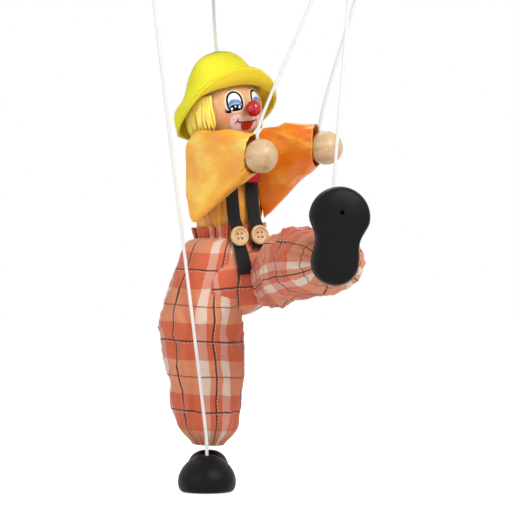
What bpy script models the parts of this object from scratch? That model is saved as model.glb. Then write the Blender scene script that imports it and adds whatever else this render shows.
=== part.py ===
"""Clown marionette: a wooden string puppet in a satin shirt and plaid trousers, hung from two crossed sticks.

Sizes are in millimetres. X runs to the viewer's right, Z up, and the figure faces towards -Y, turned to the right.
The origin is the middle of the top face of the long control stick.
"""

import math

import bmesh
import bpy
from mathutils import Matrix, Vector
from mathutils.geometry import interpolate_bezier

MM = 0.001
GAP = 0.3

# Control
BAR_WIDTH = 12.0
BAR_THICK = 6.0
LONG_LENGTH = 162.0
LONG_YAW = -13.26
SHORT_LENGTH = 118.0
SHORT_YAW = -45.55
SHORT_OFFSET = -12.1
CROSSING = 15.26
TIE_FROM_END = 8.2
RIGHT_FOOT_TIE = TIE_FROM_END - LONG_LENGTH / 2
LEFT_FOOT_TIE = LONG_LENGTH / 2 - 2 * TIE_FROM_END
LEFT_HAND_TIE = LONG_LENGTH / 2 - TIE_FROM_END
HEAD_TIE = SHORT_OFFSET - SHORT_LENGTH / 2 + 7.8
RIGHT_HAND_TIE = SHORT_OFFSET + SHORT_LENGTH / 2 - 7.9
SCREW_HEAD = 3.6
SCREW_SHANK = 1.6
SCREW_SINK = 2.3

# Strings
STRING = 1.1
STRING_BORE = 1.5
KNOT_SEAT = 2.6
KNOT_SINK = 1.0

# Screw eyes
WIRE = 0.65
EYE = 2.6
EYE_SHANK = 7.0
EYE_BORE = 0.95
LINK_DROP = 2 * WIRE + GAP
WOOD_FROM_A = 2 * EYE + WIRE + GAP
WOOD_FROM_B = 2 * EYE - LINK_DROP + WIRE + GAP

# Torso
BLOCK_HALF_WIDTH = 22.0
BLOCK_HALF_DEPTH = 8.0
BLOCK_TOP = 75.5
NECK_NOTCH = 7.0
SHOULDER_X = 19.0
SHOULDER_Y = -14.6
SHOULDER_Z = 72.5
HIP_X = 13.0

# Head
HEAD = 24.8
NOSE = 5.5
NOSE_OUT = HEAD + 5.8
NOSE_DROP = -4.3
PEG = 1.5
HAIR = 3.2
FELT = 2.0

# Limbs
ARM_ROD = 3.0
LEG_ROD = 4.0
HAND = 11.3
HAND_FLAT = 8.0
CLOTH = 1.0

# Shoes
ANKLE_HEIGHT = 30.0
TOE_LOBE = 19.5
HEEL_LOBE = 15.0
WAIST_LOBE = 12.5
LOBE_SPAN = 28.3
TOE_HEIGHT = 28.0
HEEL_HEIGHT = ANKLE_HEIGHT - WOOD_FROM_B
TOE_BORE_AHEAD = 3.0

# Straps and buttons
STRAP = 9.5
STRAP_THICK = 1.2
BUTTON = 6.7
BUTTON_THICK = 3.0

# Joints and ends in the world
TORSO_AT = Vector((-16.45, 41.7, -205.7))
NECK_AT = Vector((-15.9587, 41.7, -127.3887))
RIGHT_HAND_AT = Vector((3.55, -22.3, -133.8))
LEFT_HAND_AT = Vector((47.25, 6.7, -127.0))
RIGHT_ANKLE_AT = Vector((-32.85, 36.7, -327.8))
LEFT_ANKLE_AT = Vector((46.45, -61.3, -203.6))
UP = Vector((0, 0, 1))

for old in list(bpy.data.objects):
    bpy.data.objects.remove(old, do_unlink=True)


# Helpers
def turn(axis, degrees):
    return Matrix.Rotation(math.radians(degrees), 4, axis)


def paint(name, colour, rough):
    made = bpy.data.materials.new(name)
    made.use_nodes = True
    shader = made.node_tree.nodes["Principled BSDF"]
    shader.inputs["Base Color"].default_value = (*colour, 1)
    shader.inputs["Roughness"].default_value = rough
    return made


def axes(at, x_axis, z_axis):
    """A placing whose Z runs along z_axis and whose X lies as near x_axis as that allows."""
    z_dir = Vector(z_axis).normalized()
    y_dir = z_dir.cross(Vector(x_axis)).normalized()
    x_dir = y_dir.cross(z_dir)
    turned = Matrix((x_dir, y_dir, z_dir)).transposed().to_4x4()
    return Matrix.Translation(at) @ turned


class Frame:
    """An empty that carries the pieces of one body."""

    def __init__(self, name, matrix):
        self.matrix = matrix
        self.empty = bpy.data.objects.new(name + " frame", None)
        bpy.context.scene.collection.objects.link(self.empty)
        self.empty.empty_display_size = 0.01
        self.empty.location = matrix.to_translation() * MM
        self.empty.rotation_euler = matrix.to_euler()

    def inside(self, point):
        return self.matrix.inverted() @ Vector(point)


def add(name, data, frame, material=None, local=None):
    made = bpy.data.objects.new(name, data)
    bpy.context.scene.collection.objects.link(made)
    made.parent = frame.empty
    if local is not None:
        made.location = local.to_translation() * MM
        made.rotation_euler = local.to_euler()
    if material is not None:
        data.materials.append(material)
    return made


def solid(name, points, faces, frame, material=None, local=None, smooth=False):
    mesh = bpy.data.meshes.new(name)
    mesh.from_pydata([Vector(p) * MM for p in points], [], faces)
    work = bmesh.new()
    work.from_mesh(mesh)
    bmesh.ops.recalc_face_normals(work, faces=work.faces)
    for face in work.faces:
        face.smooth = smooth
    work.to_mesh(mesh)
    work.free()
    return add(name, mesh, frame, material, local)


def joined(rows):
    """Faces between neighbouring rows of point numbers; a row of one number is a pole."""
    faces = []
    for upper, lower in zip(rows, rows[1:]):
        for i in range(max(len(upper), len(lower))):
            j = i + 1
            corners = (upper[i % len(upper)], upper[j % len(upper)], lower[j % len(lower)], lower[i % len(lower)])
            faces.append(tuple(dict.fromkeys(corners)))
    return faces


def loft(name, rings, frame, material=None, local=None, smooth=False):
    """A solid through closed rings of equally many points, flat at both ends."""
    count = len(rings[0])
    points = [p for ring in rings for p in ring]
    rows = [list(range(n * count, n * count + count)) for n in range(len(rings))]
    faces = joined(rows) + [tuple(rows[0]), tuple(rows[-1])]
    return solid(name, points, faces, frame, material, local, smooth)


def lathe(name, profile, sides, frame, material=None, local=None):
    """A turned solid. The profile lists (radius, height)."""
    points = []
    rows = []
    for radius, height in profile:
        first = len(points)
        if radius == 0:
            points.append((0, 0, height))
            rows.append([first])
            continue
        for n in range(sides):
            angle = 2 * math.pi * n / sides
            points.append((radius * math.cos(angle), radius * math.sin(angle), height))
        rows.append(list(range(first, first + sides)))
    faces = joined(rows)
    faces += [tuple(row) for row in (rows[0], rows[-1]) if len(row) > 1]
    return solid(name, points, faces, frame, material, local, smooth=True)


def cloth(name, rings, thick, frame, material=None):
    """A tube of cloth through closed rings, open at both ends."""
    count = len(rings[0])
    last = len(rings) - 1
    outer = []
    inner = []
    for n, ring in enumerate(rings):
        before = rings[max(n - 1, 0)]
        after = rings[min(n + 1, last)]
        for i in range(count):
            around = ring[(i + 1) % count] - ring[i - 1]
            normal = around.cross(after[i] - before[i]).normalized()
            outer.append(ring[i] + normal * thick / 2)
            inner.append(ring[i] - normal * thick / 2)
    size = len(outer)
    rows = [list(range(n * count, n * count + count)) for n in range(last + 1)]
    backs = [[p + size for p in row] for row in rows]
    loop = rows + backs[::-1] + [rows[0]]
    return solid(name, outer + inner, joined(loop), frame, material, None, smooth=True)


def ring_of(centre, across, upward, half_across, half_up, sides, power=2.0, ripple=0.0, waves=0, phase=0.0):
    """A closed oval ring about a centre; the ripple stands for folds."""
    points = []
    for n in range(sides):
        angle = 2 * math.pi * n / sides
        fold = ripple * math.cos(waves * angle + phase)
        cos = math.cos(angle)
        sin = math.sin(angle)
        a = (half_across + fold) * math.copysign(abs(cos) ** (2 / power), cos)
        b = (half_up + fold) * math.copysign(abs(sin) ** (2 / power), sin)
        points.append(Vector(centre) + Vector(across) * a + Vector(upward) * b)
    return points


def wire(name, path, radius, frame, material, resolution, radii=None, local=None):
    data = bpy.data.curves.new(name, "CURVE")
    data.dimensions = "3D"
    data.bevel_depth = radius * MM
    data.bevel_resolution = resolution
    data.use_fill_caps = True
    spline = data.splines.new("POLY")
    spline.points.add(len(path) - 1)
    for n, point in enumerate(path):
        spline.points[n].co = (*(Vector(point) * MM), 1)
        spline.points[n].radius = radii[n] if radii else 1.0
    return add(name, data, frame, material, local)


def cut(target, tool):
    tool.hide_render = True
    tool.display_type = "WIRE"
    change = target.modifiers.new("cut " + tool.name, "BOOLEAN")
    change.operation = "DIFFERENCE"
    change.solver = "EXACT"
    change.object = tool


def merge(target, tool):
    cut(target, tool)
    target.modifiers[-1].operation = "UNION"


def bore(target, frame, holes, sides=12):
    """Round holes in one piece: each is (start, direction, radius, depth)."""
    points = []
    faces = []
    for start, direction, radius, depth in holes:
        placing = axes(Vector(start), (0.31, 0.87, 0.39), direction)
        rows = []
        for height in (0, depth):
            first = len(points)
            for n in range(sides):
                angle = 2 * math.pi * n / sides
                points.append(placing @ Vector((radius * math.cos(angle), radius * math.sin(angle), height)))
            rows.append(list(range(first, first + sides)))
        faces += joined(rows) + [tuple(rows[0]), tuple(rows[1])]
    cut(target, solid(target.name + " bores", points, faces, frame))


def eye_placing(at, axis, away, ring_across_axis):
    """Where a screw eye sits: its shank runs along away, its ring lies along the hinge axis or across it."""
    flat = Vector(away) - Vector(axis) * Vector(axis).dot(Vector(away))
    if ring_across_axis:
        return axes(at, flat.cross(Vector(axis)), flat)
    return axes(at, axis, flat)


def screw_eye(name, frame, placing, drop):
    """A wire ring with a shank. The far side of the ring lies drop below the placing's origin."""
    path = [(0, 0, 2 * EYE - drop + EYE_SHANK), (0, 0, 2 * EYE - drop + 0.9)]
    for n in range(11):
        angle = math.radians(n * 31.8)
        path.append((EYE * math.sin(angle), 0, EYE - drop + EYE * math.cos(angle)))
    local = frame.matrix.inverted() @ placing
    wire(name, path, WIRE, frame, STEEL, 1, local=local)
    start = local @ Vector((0, 0, 2 * EYE - drop - 1.0))
    return start, local.to_3x3() @ UP, EYE_BORE, EYE_SHANK + 1.0 + GAP


# Materials
WOOD = paint("light wood", (0.72, 0.45, 0.22), 0.45)
STICK = paint("plain stick", (0.60, 0.38, 0.18), 0.6)
STEEL = paint("steel wire", (0.55, 0.55, 0.56), 0.3)
RED = paint("red gloss", (0.50, 0.004, 0.010), 0.2)
BLACK = paint("black satin", (0.016, 0.016, 0.018), 0.3)
FELT_YELLOW = paint("yellow felt", (1.0, 0.85, 0.05), 0.95)
STRAW = paint("pale hair", (0.85, 0.70, 0.35), 0.8)
SATIN = paint("orange satin", (0.70, 0.26, 0.03), 0.35)
SATIN_LIGHT = paint("golden satin", (0.86, 0.42, 0.06), 0.35)
RIBBON = paint("red ribbon", (0.42, 0.004, 0.008), 0.4)
PLAID = paint("plaid cloth", (0.68, 0.22, 0.10), 0.85)
WHITE = paint("white string", (0.85, 0.85, 0.83), 0.8)


# Frames of the bodies
control = Frame("control", Matrix.Identity(4))
torso = Frame("torso", Matrix.Translation(TORSO_AT) @ turn("Y", -4) @ turn("Z", 32))
HEAD_UP = turn("Y", -9) @ UP
HEAD_AT = NECK_AT + HEAD_UP * (HEAD + WOOD_FROM_B)
head = Frame("head", Matrix.Translation(HEAD_AT) @ turn("Y", -9) @ turn("Z", 38))
NECK_LOCAL = torso.inside(NECK_AT)


def arm_frame(name, shoulder, hand_at):
    reach = hand_at - shoulder
    yaw = math.degrees(math.atan2(reach.y, reach.x))
    pitch = math.degrees(math.atan2(reach.z, math.hypot(reach.x, reach.y)))
    return Frame(name, Matrix.Translation(shoulder) @ turn("Z", yaw) @ turn("Y", -pitch)), reach.length


RIGHT_SHOULDER_AT = torso.matrix @ Vector((-SHOULDER_X, SHOULDER_Y, SHOULDER_Z))
LEFT_SHOULDER_AT = torso.matrix @ Vector((SHOULDER_X, SHOULDER_Y, SHOULDER_Z))
right_arm, RIGHT_REACH = arm_frame("right_arm", RIGHT_SHOULDER_AT, RIGHT_HAND_AT)
left_arm, LEFT_REACH = arm_frame("left_arm", LEFT_SHOULDER_AT, LEFT_HAND_AT)
RIGHT_HIP_AT = torso.matrix @ Vector((-HIP_X, 0, 0))
LEFT_HIP_AT = torso.matrix @ Vector((HIP_X, 0, 0))
right_leg = Frame("right_leg", axes(RIGHT_HIP_AT, (1, 0, 0), RIGHT_HIP_AT - RIGHT_ANKLE_AT))
left_leg = Frame("left_leg", axes(LEFT_HIP_AT, (0.904, 0.427, 0), LEFT_HIP_AT - LEFT_ANKLE_AT))
RIGHT_LEG = (RIGHT_HIP_AT - RIGHT_ANKLE_AT).length
LEFT_LEG = (LEFT_HIP_AT - LEFT_ANKLE_AT).length
right_shoe = Frame("right_shoe", Matrix.Translation(RIGHT_ANKLE_AT))
left_shoe = Frame("left_shoe", Matrix.Translation(LEFT_ANKLE_AT) @ turn("Z", 9) @ turn("X", -90) @ turn("Z", 6))


# Control: two crossed sticks and the screw that joins them
def stick(name, length, local):
    rings = []
    for height, inset in ((-BAR_THICK, 0.6), (0.6 - BAR_THICK, 0), (-0.6, 0), (0, 0.6)):
        radius = BAR_WIDTH / 2 - inset
        middle = (length - BAR_WIDTH) / 2
        ring = []
        for n in range(18):
            angle = math.radians(-90 + 180 * (n % 9) / 8 + 180 * (n // 9))
            side = middle if n < 9 else -middle
            ring.append((side + radius * math.cos(angle), radius * math.sin(angle), height))
        rings.append(ring)
    return loft(name, rings, control, STICK, local)


LONG = turn("Z", LONG_YAW)
CROSSING_AT = LONG @ Vector((CROSSING, 0, 0))
SHORT_TOP = -BAR_THICK - GAP
SHORT = Matrix.Translation(CROSSING_AT + Vector((0, 0, SHORT_TOP))) @ turn("Z", SHORT_YAW)
long_bar = stick("control_long_bar", LONG_LENGTH, LONG)
short_bar = stick("control_short_bar", SHORT_LENGTH, SHORT @ Matrix.Translation((SHORT_OFFSET, 0, 0)))
DOWN = -UP
screw_bore = (CROSSING_AT + UP, DOWN, SCREW_SHANK + GAP, BAR_THICK + GAP + BAR_THICK)
LONG_TIES = [LONG @ Vector((way, 0, 0)) for way in (RIGHT_FOOT_TIE, LEFT_FOOT_TIE, LEFT_HAND_TIE)]
SHORT_TIES = [SHORT @ Vector((way, 0, 0)) for way in (HEAD_TIE, RIGHT_HAND_TIE)]


def string_holes(ties):
    return [(tie + UP, DOWN, STRING_BORE, BAR_THICK + 2) for tie in ties]


def knot_seats(ties):
    return [(tie + UP, DOWN, KNOT_SEAT, KNOT_SINK + 1) for tie in ties]


SCREW_AT = CROSSING_AT + DOWN * SCREW_SINK
head_seat = (CROSSING_AT + UP, DOWN, SCREW_HEAD + GAP, SCREW_SINK + 1)
bore(long_bar, control, knot_seats(LONG_TIES) + [head_seat])
bore(long_bar, control, string_holes(LONG_TIES) + [screw_bore])
bore(short_bar, control, knot_seats(SHORT_TIES))
bore(short_bar, control, string_holes(SHORT_TIES) + [screw_bore])
screw_tip = SHORT_TOP - BAR_THICK + 1.5 + SCREW_SINK
screw_profile = [(0, 2.0), (1.8, 1.8), (3.1, 1.1), (SCREW_HEAD, GAP), (SCREW_SHANK, GAP)]
screw_profile += [(SCREW_SHANK, screw_tip + 1.2), (0, screw_tip)]
screw = lathe("control_screw", screw_profile, 12, control, STEEL, Matrix.Translation(SCREW_AT))
slot_ring = [(-5, -0.45), (5, -0.45), (5, 0.45), (-5, 0.45)]
slot = loft("screw slot", [[(x, y, z) for x, y in slot_ring] for z in (1.2, 3.0)], control,
            local=Matrix.Translation(SCREW_AT) @ turn("Z", 25))
cut(screw, slot)

# Torso block with a notch for the neck
block_rings = []
for height, half_width in ((WOOD_FROM_A, 17), (20, 17), (55, 20), (62, BLOCK_HALF_WIDTH), (BLOCK_TOP, BLOCK_HALF_WIDTH)):
    depth = BLOCK_HALF_DEPTH
    corners = ((-half_width, -depth), (half_width, -depth), (half_width, depth), (-half_width, depth))
    block_rings.append([(x, y, height) for x, y in corners])
block = loft("torso_block", block_rings, torso, WOOD)
rounding = block.modifiers.new("rounding", "BEVEL")
rounding.width = 1.5 * MM
rounding.segments = 2
rounding.limit_method = "ANGLE"
rounding.angle_limit = math.radians(40)
notch_floor = NECK_LOCAL.z - WOOD_FROM_A
notch_ring = [(NECK_LOCAL.x + x, y) for x, y in ((-NECK_NOTCH, -20), (NECK_NOTCH, -20), (NECK_NOTCH, 20), (-NECK_NOTCH, 20))]
notch = loft("neck notch", [[(x, y, z) for x, y in notch_ring] for z in (notch_floor, 90)], torso)
cut(block, notch)

# Hinge lines of the joints
RIGHT_ARM_LINE = right_arm.matrix.to_3x3() @ Vector((0, -1, 0))
LEFT_ARM_LINE = left_arm.matrix.to_3x3() @ Vector((0, -1, 0))
RIGHT_LEG_LINE = right_leg.matrix.to_3x3() @ Vector((-1, 0, 0))
LEFT_LEG_LINE = left_leg.matrix.to_3x3() @ Vector((-1, 0, 0))
NECK_LINE = head.matrix.to_3x3() @ Vector((1, 0, 0))
RIGHT_POINT = right_arm.matrix.to_3x3() @ Vector((1, 0, 0))
LEFT_POINT = left_arm.matrix.to_3x3() @ Vector((1, 0, 0))
RIGHT_DOWN = right_leg.matrix.to_3x3() @ DOWN
LEFT_DOWN = left_leg.matrix.to_3x3() @ DOWN

# Screw eyes of the torso and of the pieces that hang on it
block_holes = [
    screw_eye("neck_eye_torso", torso, eye_placing(NECK_AT, NECK_LINE, -HEAD_UP, False), 0),
    screw_eye("right_shoulder_eye", torso, eye_placing(RIGHT_SHOULDER_AT, RIGHT_ARM_LINE, -RIGHT_POINT, False), 0),
    screw_eye("left_shoulder_eye", torso, eye_placing(LEFT_SHOULDER_AT, LEFT_ARM_LINE, -LEFT_POINT, False), 0),
    screw_eye("right_hip_eye", torso, eye_placing(RIGHT_HIP_AT, RIGHT_LEG_LINE, UP, False), 0),
    screw_eye("left_hip_eye", torso, eye_placing(LEFT_HIP_AT, LEFT_LEG_LINE, UP, False), 0),
]
bore(block, torso, block_holes)
neck_hole = screw_eye("neck_eye_head", head, eye_placing(NECK_AT, NECK_LINE, HEAD_UP, True), LINK_DROP)

# Head: ball, nose, hair and hat
ball_profile = [(HEAD * math.sin(math.pi * n / 14), HEAD * math.cos(math.pi * n / 14)) for n in range(1, 14)]
ball = lathe("head_ball", [(0, HEAD)] + ball_profile + [(0, -HEAD)], 24, head, WOOD)
nose_out = Vector((0, -1, NOSE_DROP / NOSE_OUT)).normalized()
string_hole = (Vector((0, 0, HEAD + 1)), DOWN, STRING_BORE, 10)
nose_hole = (nose_out * (HEAD + 1), -nose_out, PEG + GAP, 6)
bore(ball, head, [neck_hole, string_hole, nose_hole])
nose_profile = [(0, NOSE)]
for n in range(1, 9):
    angle = math.radians(18 * n)
    nose_profile.append((NOSE * math.sin(angle), NOSE * math.cos(angle)))
peg_end = NOSE_OUT - HEAD + 4
nose_profile += [(PEG, -math.sqrt(NOSE ** 2 - PEG ** 2)), (PEG, -peg_end), (0, -peg_end)]
lathe("nose", nose_profile, 16, head, RED, axes(nose_out * NOSE_OUT, (1, 0, 0), nose_out))

hair_inner = HEAD + 0.5
hair_rings = []
for n in range(41):
    angle = math.radians(-18 + 216 * n / 40)
    strand = 0.4 if n % 2 else -0.4
    tip = 0.8 if n % 4 < 2 else -0.8
    section = ((0, 5), (0, -6), (0, -15 + tip), (HAIR + strand, -16 + tip), (HAIR + 0.3 + strand, -6), (HAIR + 0.6 + strand, 5))
    ring = []
    for out, height in section:
        radius = hair_inner + out
        ring.append((radius * math.cos(angle), radius * math.sin(angle), height))
    hair_rings.append(ring)
loft("hair", hair_rings, head, STRAW)

HAT_SIDE = ((1.9, 38.2), (8.5, 37.6), (15, 34.8), (20, 29.5), (23.8, 23), (26.8, 16), (31, 7.5), (33, -1),
            (34.5, -10.5), (35.6, -20))
HAT_FRONT = ((1.9, 38.2), (8.5, 37.6), (14.5, 34.8), (18.3, 29.5), (20.2, 24), (21.9, 18.6), (24.6, 16.9),
             (28.6, 18.2), (32.5, 21.8), (35.5, 26.8))
HAT_FRONT_AT = -102
hat_rings = []
for n, (side, front) in enumerate(zip(HAT_SIDE, HAT_FRONT)):
    ring = []
    for i in range(28):
        angle = 2 * math.pi * i / 28
        share = ((1 + math.cos(angle - math.radians(HAT_FRONT_AT))) / 2 - 0.25) / 0.6
        share = min(max(share, 0), 1)
        lift = share * share * (3 - 2 * share)
        sag = 1.6 * math.cos(3 * angle + 0.6) * (n / 9) ** 3
        radius = side[0] + (front[0] - side[0]) * lift
        height = side[1] + (front[1] - side[1]) * lift + sag * (1 - lift)
        ring.append(Vector((radius * math.cos(angle), radius * math.sin(angle), height)))
    hat_rings.append(ring)
cloth("hat", hat_rings, FELT, head, FELT_YELLOW)

# Shirt: (height, half width, half depth), pleated all round, closing in to the neck
X_AXIS = Vector((1, 0, 0))
Y_AXIS = Vector((0, 1, 0))
SHIRT_ROWS = ((9, 22.8, 15.8), (26, 23.3, 16.2), (42, 25, 17.4), (57, 26, 17.5), (67, 26, 17), (73.5, 25, 15), (77, 22, 12.5))
shirt_rings = []
for height, half_width, half_depth in SHIRT_ROWS:
    shirt_rings.append(ring_of((0, 0, height), X_AXIS, Y_AXIS, half_width, half_depth, 36, 3.0, 0.4, 18))
neck_middle = Vector((NECK_LOCAL.x, NECK_LOCAL.y, 0))
shirt_rings.append(ring_of(neck_middle * 0.3 + UP * 78.4, X_AXIS, Y_AXIS, 15.5, 10.8, 36, 2.4, 0.2, 18))
shirt_rings.append(ring_of(neck_middle + UP * 78.8, X_AXIS, Y_AXIS, 8.2, 8.2, 36))
shirt = cloth("shirt", shirt_rings, CLOTH, torso, SATIN)
arm_holes = []
for frame, shoulder in ((right_arm, RIGHT_SHOULDER_AT), (left_arm, LEFT_SHOULDER_AT)):
    point = frame.matrix.to_3x3() @ X_AXIS
    start = torso.inside(shoulder - point * 5.5)
    arm_holes.append((start, torso.matrix.to_3x3().inverted() @ point, 5.0, 14))
bore(shirt, torso, arm_holes)


# Straps, buttons and ribbon
def band(name, path, width, thick, frame, material):
    """A flat strip along a path of points, its width running along X."""
    rings = []
    for n, point in enumerate(path):
        run = (Vector(path[min(n + 1, len(path) - 1)]) - Vector(path[max(n - 1, 0)])).normalized()
        out = X_AXIS.cross(run).normalized() * thick / 2
        half = width / 2
        if n in (0, len(path) - 1):
            half = width * 0.36
        across = X_AXIS * half
        middle = Vector(point)
        rings.append([middle - across - out, middle + across - out, middle + across + out, middle - across + out])
    return loft(name, rings, frame, material)


STRAP_PATH = ((7.3, -24.9, 10.0), (7.4, -24.7, 10.8), (7.6, -24.3, 12.5), (7.8, -23.5, 16), (8, -23.1, 21), (8, -22.8, 26.5),
              (8, -20.3, 32), (8, -19.8, 45), (8, -19.8, 60), (8, -19.0, 68.5), (8.7, -16.9, 75.5), (11.9, -11.7, 79.9),
              (12.6, -6, 80.9), (12.7, 0, 81.0), (12.6, 6, 80.9), (11.9, 11.7, 79.9), (8.7, 16.9, 75.5), (8, 19.0, 68.5),
              (8, 19.8, 50), (8, 20.3, 32), (8, 22.8, 26.5), (8, 23.3, 18), (8, 24.2, 12))
STRAP_TAIL = ((7, -28.3, 0), (7, -27.9, 1.5), (7.1, -26.6, 5.5))
band("right_strap", [(-x, y, z) for x, y, z in STRAP_TAIL + STRAP_PATH[1:]], STRAP, STRAP_THICK, torso, BLACK)
band("left_strap", STRAP_PATH, STRAP, STRAP_THICK, torso, BLACK)
BUTTON_PROFILE = ((0, 1.9), (4.5, 1.9), (5.0, BUTTON_THICK), (6.1, BUTTON_THICK), (BUTTON, 2.4), (BUTTON, 0.5), (6.2, 0), (0, 0))
for side, x in (("right", -8), ("left", 8)):
    at = Vector((x, -24.6, 19))
    face = Vector((0, -0.995, 0.1))
    button = lathe(side + "_button", BUTTON_PROFILE, 18, torso, WOOD, axes(at, X_AXIS, face))
    holes = [(at + Vector((dx, 0, dz)) + face * 4, -face, 0.75, 5) for dx in (-1.6, 1.6) for dz in (-1.6, 1.6)]
    bore(button, torso, holes, 6)
RIBBON_PATH = ((5, -9.6, 82.0), (5, -14.5, 82.2), (5.1, -20, 80.7), (5.2, -25, 76.2), (5, -27.6, 69), (4.6, -28.3, 62), (4.2, -28, 55))
band("neck_ribbon", RIBBON_PATH, 12, 0.9, torso, RIBBON)


# Arms: rod, hand and hanging sleeve
def rod(name, start, end, radius, frame, along):
    """A turned rod along the frame's axis, chamfered at both ends."""
    profile = ((0, end), (radius - 0.8, end), (radius, end - 0.8), (radius, start + 0.8), (radius - 0.8, start), (0, start))
    return lathe(name, profile, 12, frame, WOOD, along)


SLEEVE_TOP = 9.0
SLEEVE_DROP = 43.5
SLEEVE_STEPS = (0, 0.1, 0.24, 0.4, 0.56, 0.72, 0.86, 0.95, 1)
ALONG_X = turn("Y", 90)


def arm(side, frame, reach, shoulder, line, point, satin):
    """One arm from the shoulder eye to the hand; side is -1 for the figure's right."""
    label = "right" if side < 0 else "left"
    hole = screw_eye(label + "_arm_eye", frame, eye_placing(shoulder, line, point, True), LINK_DROP)
    wrist = reach - HAND_FLAT
    bar = rod(label + "_arm_rod", WOOD_FROM_B, wrist + 5, ARM_ROD, frame, ALONG_X)
    bore(bar, frame, [hole])
    profile = [(0, HAND)]
    for n in range(1, 10):
        angle = math.radians(14 * n)
        profile.append((HAND * math.sin(angle), HAND * math.cos(angle)))
    flat_radius = math.sqrt(HAND ** 2 - HAND_FLAT ** 2)
    profile += [(flat_radius, -HAND_FLAT), (0, -HAND_FLAT)]
    hand = lathe(label + "_hand", profile, 20, frame, WOOD, Matrix.Translation((reach, 0, 0)) @ ALONG_X)
    rod_hole = (Vector((wrist - 1, 0, 0)), X_AXIS, ARM_ROD + GAP, 1 + 5 + GAP)
    tie_hole = (Vector((reach - 4, 0, HAND + 1)), DOWN, STRING_BORE, HAND + 1 - 5.3)
    bore(hand, frame, [rod_hole, tie_hole])
    rings = []
    into_arm = frame.matrix.inverted() @ torso.matrix
    for step in SLEEVE_STEPS:
        ring = []
        for n in range(26):
            t = 2 * math.pi * n / 26
            inward = math.cos(t)
            upward = math.sin(t)
            phi = math.radians(210.5 + 38.5 * inward)
            x = 28.0 * abs(math.cos(phi)) ** (2 / 3)
            y = 19.4 * math.copysign(abs(math.sin(phi)) ** (2 / 3), math.sin(phi))
            z = SHOULDER_Z + upward * (SLEEVE_TOP if upward > 0 else SLEEVE_DROP)
            root = into_arm @ Vector((side * x, y, z))
            fold = 0.9 * math.sin(math.pi * step) * math.cos(7 * t + 2.5 * step)
            rise = (12 if upward > 0 else 16) + fold
            cuff = Vector((wrist - 1.6, -side * inward * (11 + fold), upward * rise))
            ring.append(root.lerp(cuff, step) + Vector((0, -side * inward, upward)) * fold)
        rings.append(ring)
    cloth(label + "_sleeve", rings, CLOTH, frame, satin)


arm(-1, right_arm, RIGHT_REACH, RIGHT_SHOULDER_AT, RIGHT_ARM_LINE, RIGHT_POINT, SATIN_LIGHT)
arm(1, left_arm, LEFT_REACH, LEFT_SHOULDER_AT, LEFT_ARM_LINE, LEFT_POINT, SATIN)

# Trousers: the seat is a gathered bag, open at the waist and where each leg leaves it
SEAT_ROWS = ((27.5, 27.3, 21.2, 0.6), (23, 26.4, 20.4, 0.6), (15, 27, 21, 0.6), (7, 31, 23.6, 0.5), (0, 35, 27, 0.3),
             (-10, 36, 28, 0.2), (-20, 33, 26, 0.1), (-28, 26, 21, 0), (-34, 12, 10, 0))


def seat_loft(name, grow, rows, material=None):
    rings = []
    for height, half_width, half_depth, gather in rows:
        centre = (0, 0, height)
        rings.append(ring_of(centre, X_AXIS, Y_AXIS, half_width + grow, half_depth + grow, 28, 3.0, gather, 14))
    return loft(name, rings, torso, material, smooth=True)


seat = seat_loft("trouser_seat", 0, SEAT_ROWS, PLAID)
hollow_rows = ((30, 27.3, 21.2, 0.6),) + SEAT_ROWS[:-1] + ((-32.6, 12, 10, 0),)
cut(seat, seat_loft("seat hollow", -1.2, hollow_rows))
round_seat = SEAT_ROWS[:-1] + ((-34.6, 12, 10, 0),)
around_seat = seat_loft("around the seat", 0.5, round_seat)

# Leg cloth: (way down the leg, shift across, shift up or back, half width, half height)
RIGHT_LEG_ROWS = ((3, -3, 0, 17, 15), (12, -6.5, 0, 23, 20), (24, -8, 0, 27, 22.5), (40, -8.5, 0, 28, 23), (58, -6.5, 0, 28, 23),
                  (75, -4, 0, 27, 22.5), (95, -2, 0, 23.5, 20), (108, -0.5, 0, 20.5, 18.5), (116, 0, 0, 18.5, 17), (123.8, 0, 0, 15.8, 15.3))
LEFT_LEG_ROWS = ((10, 5.5, 7, 14, 16), (28, 8, 8, 17.5, 17.5), (45, 5, 4, 20.5, 23), (62, 2, 2, 22.5, 25), (80, 1, 2, 22, 23.5),
                 (98, 0, 1, 20.5, 21), (109, 0, 1, 18.3, 18.3), (116, 0, 0, 16, 16), (122, 0, 0, 14.2, 14.2))


def leg_rings(rows, shrink):
    rings = []
    for n, (way, shift, back, half_width, half_height) in enumerate(rows):
        last = n >= len(rows) - 2
        ripple = 0.9 if last else 0.8
        waves = 9 if last else 5
        centre = (shift, back, -way)
        rings.append(ring_of(centre, X_AXIS, Y_AXIS, half_width - shrink, half_height - shrink, 26, 2.0, ripple, waves, 0.02 * way))
    return rings


def leg(side, frame, length, hip, ankle, line, down, rows, shoe_frame):
    label = "right" if side < 0 else "left"
    top_hole = screw_eye(label + "_leg_eye", frame, eye_placing(hip, line, down, True), LINK_DROP)
    foot_hole = screw_eye(label + "_ankle_eye", frame, eye_placing(ankle, line, -down, False), 0)
    bar = rod(label + "_leg_rod", WOOD_FROM_A - length, -WOOD_FROM_B, LEG_ROD, frame, None)
    bore(bar, frame, [top_hole, foot_hole])
    trouser = cloth(label + "_trouser_leg", leg_rings(rows, 0), CLOTH, frame, PLAID)
    cut(trouser, around_seat)
    opening = loft(label + " leg opening", leg_rings(rows[:4], 1.0), frame)
    cut(seat, opening)
    sole = shoe_frame.matrix.to_3x3() @ DOWN
    return screw_eye(label + "_shoe_eye", shoe_frame, eye_placing(ankle, line, sole, True), LINK_DROP)


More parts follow.
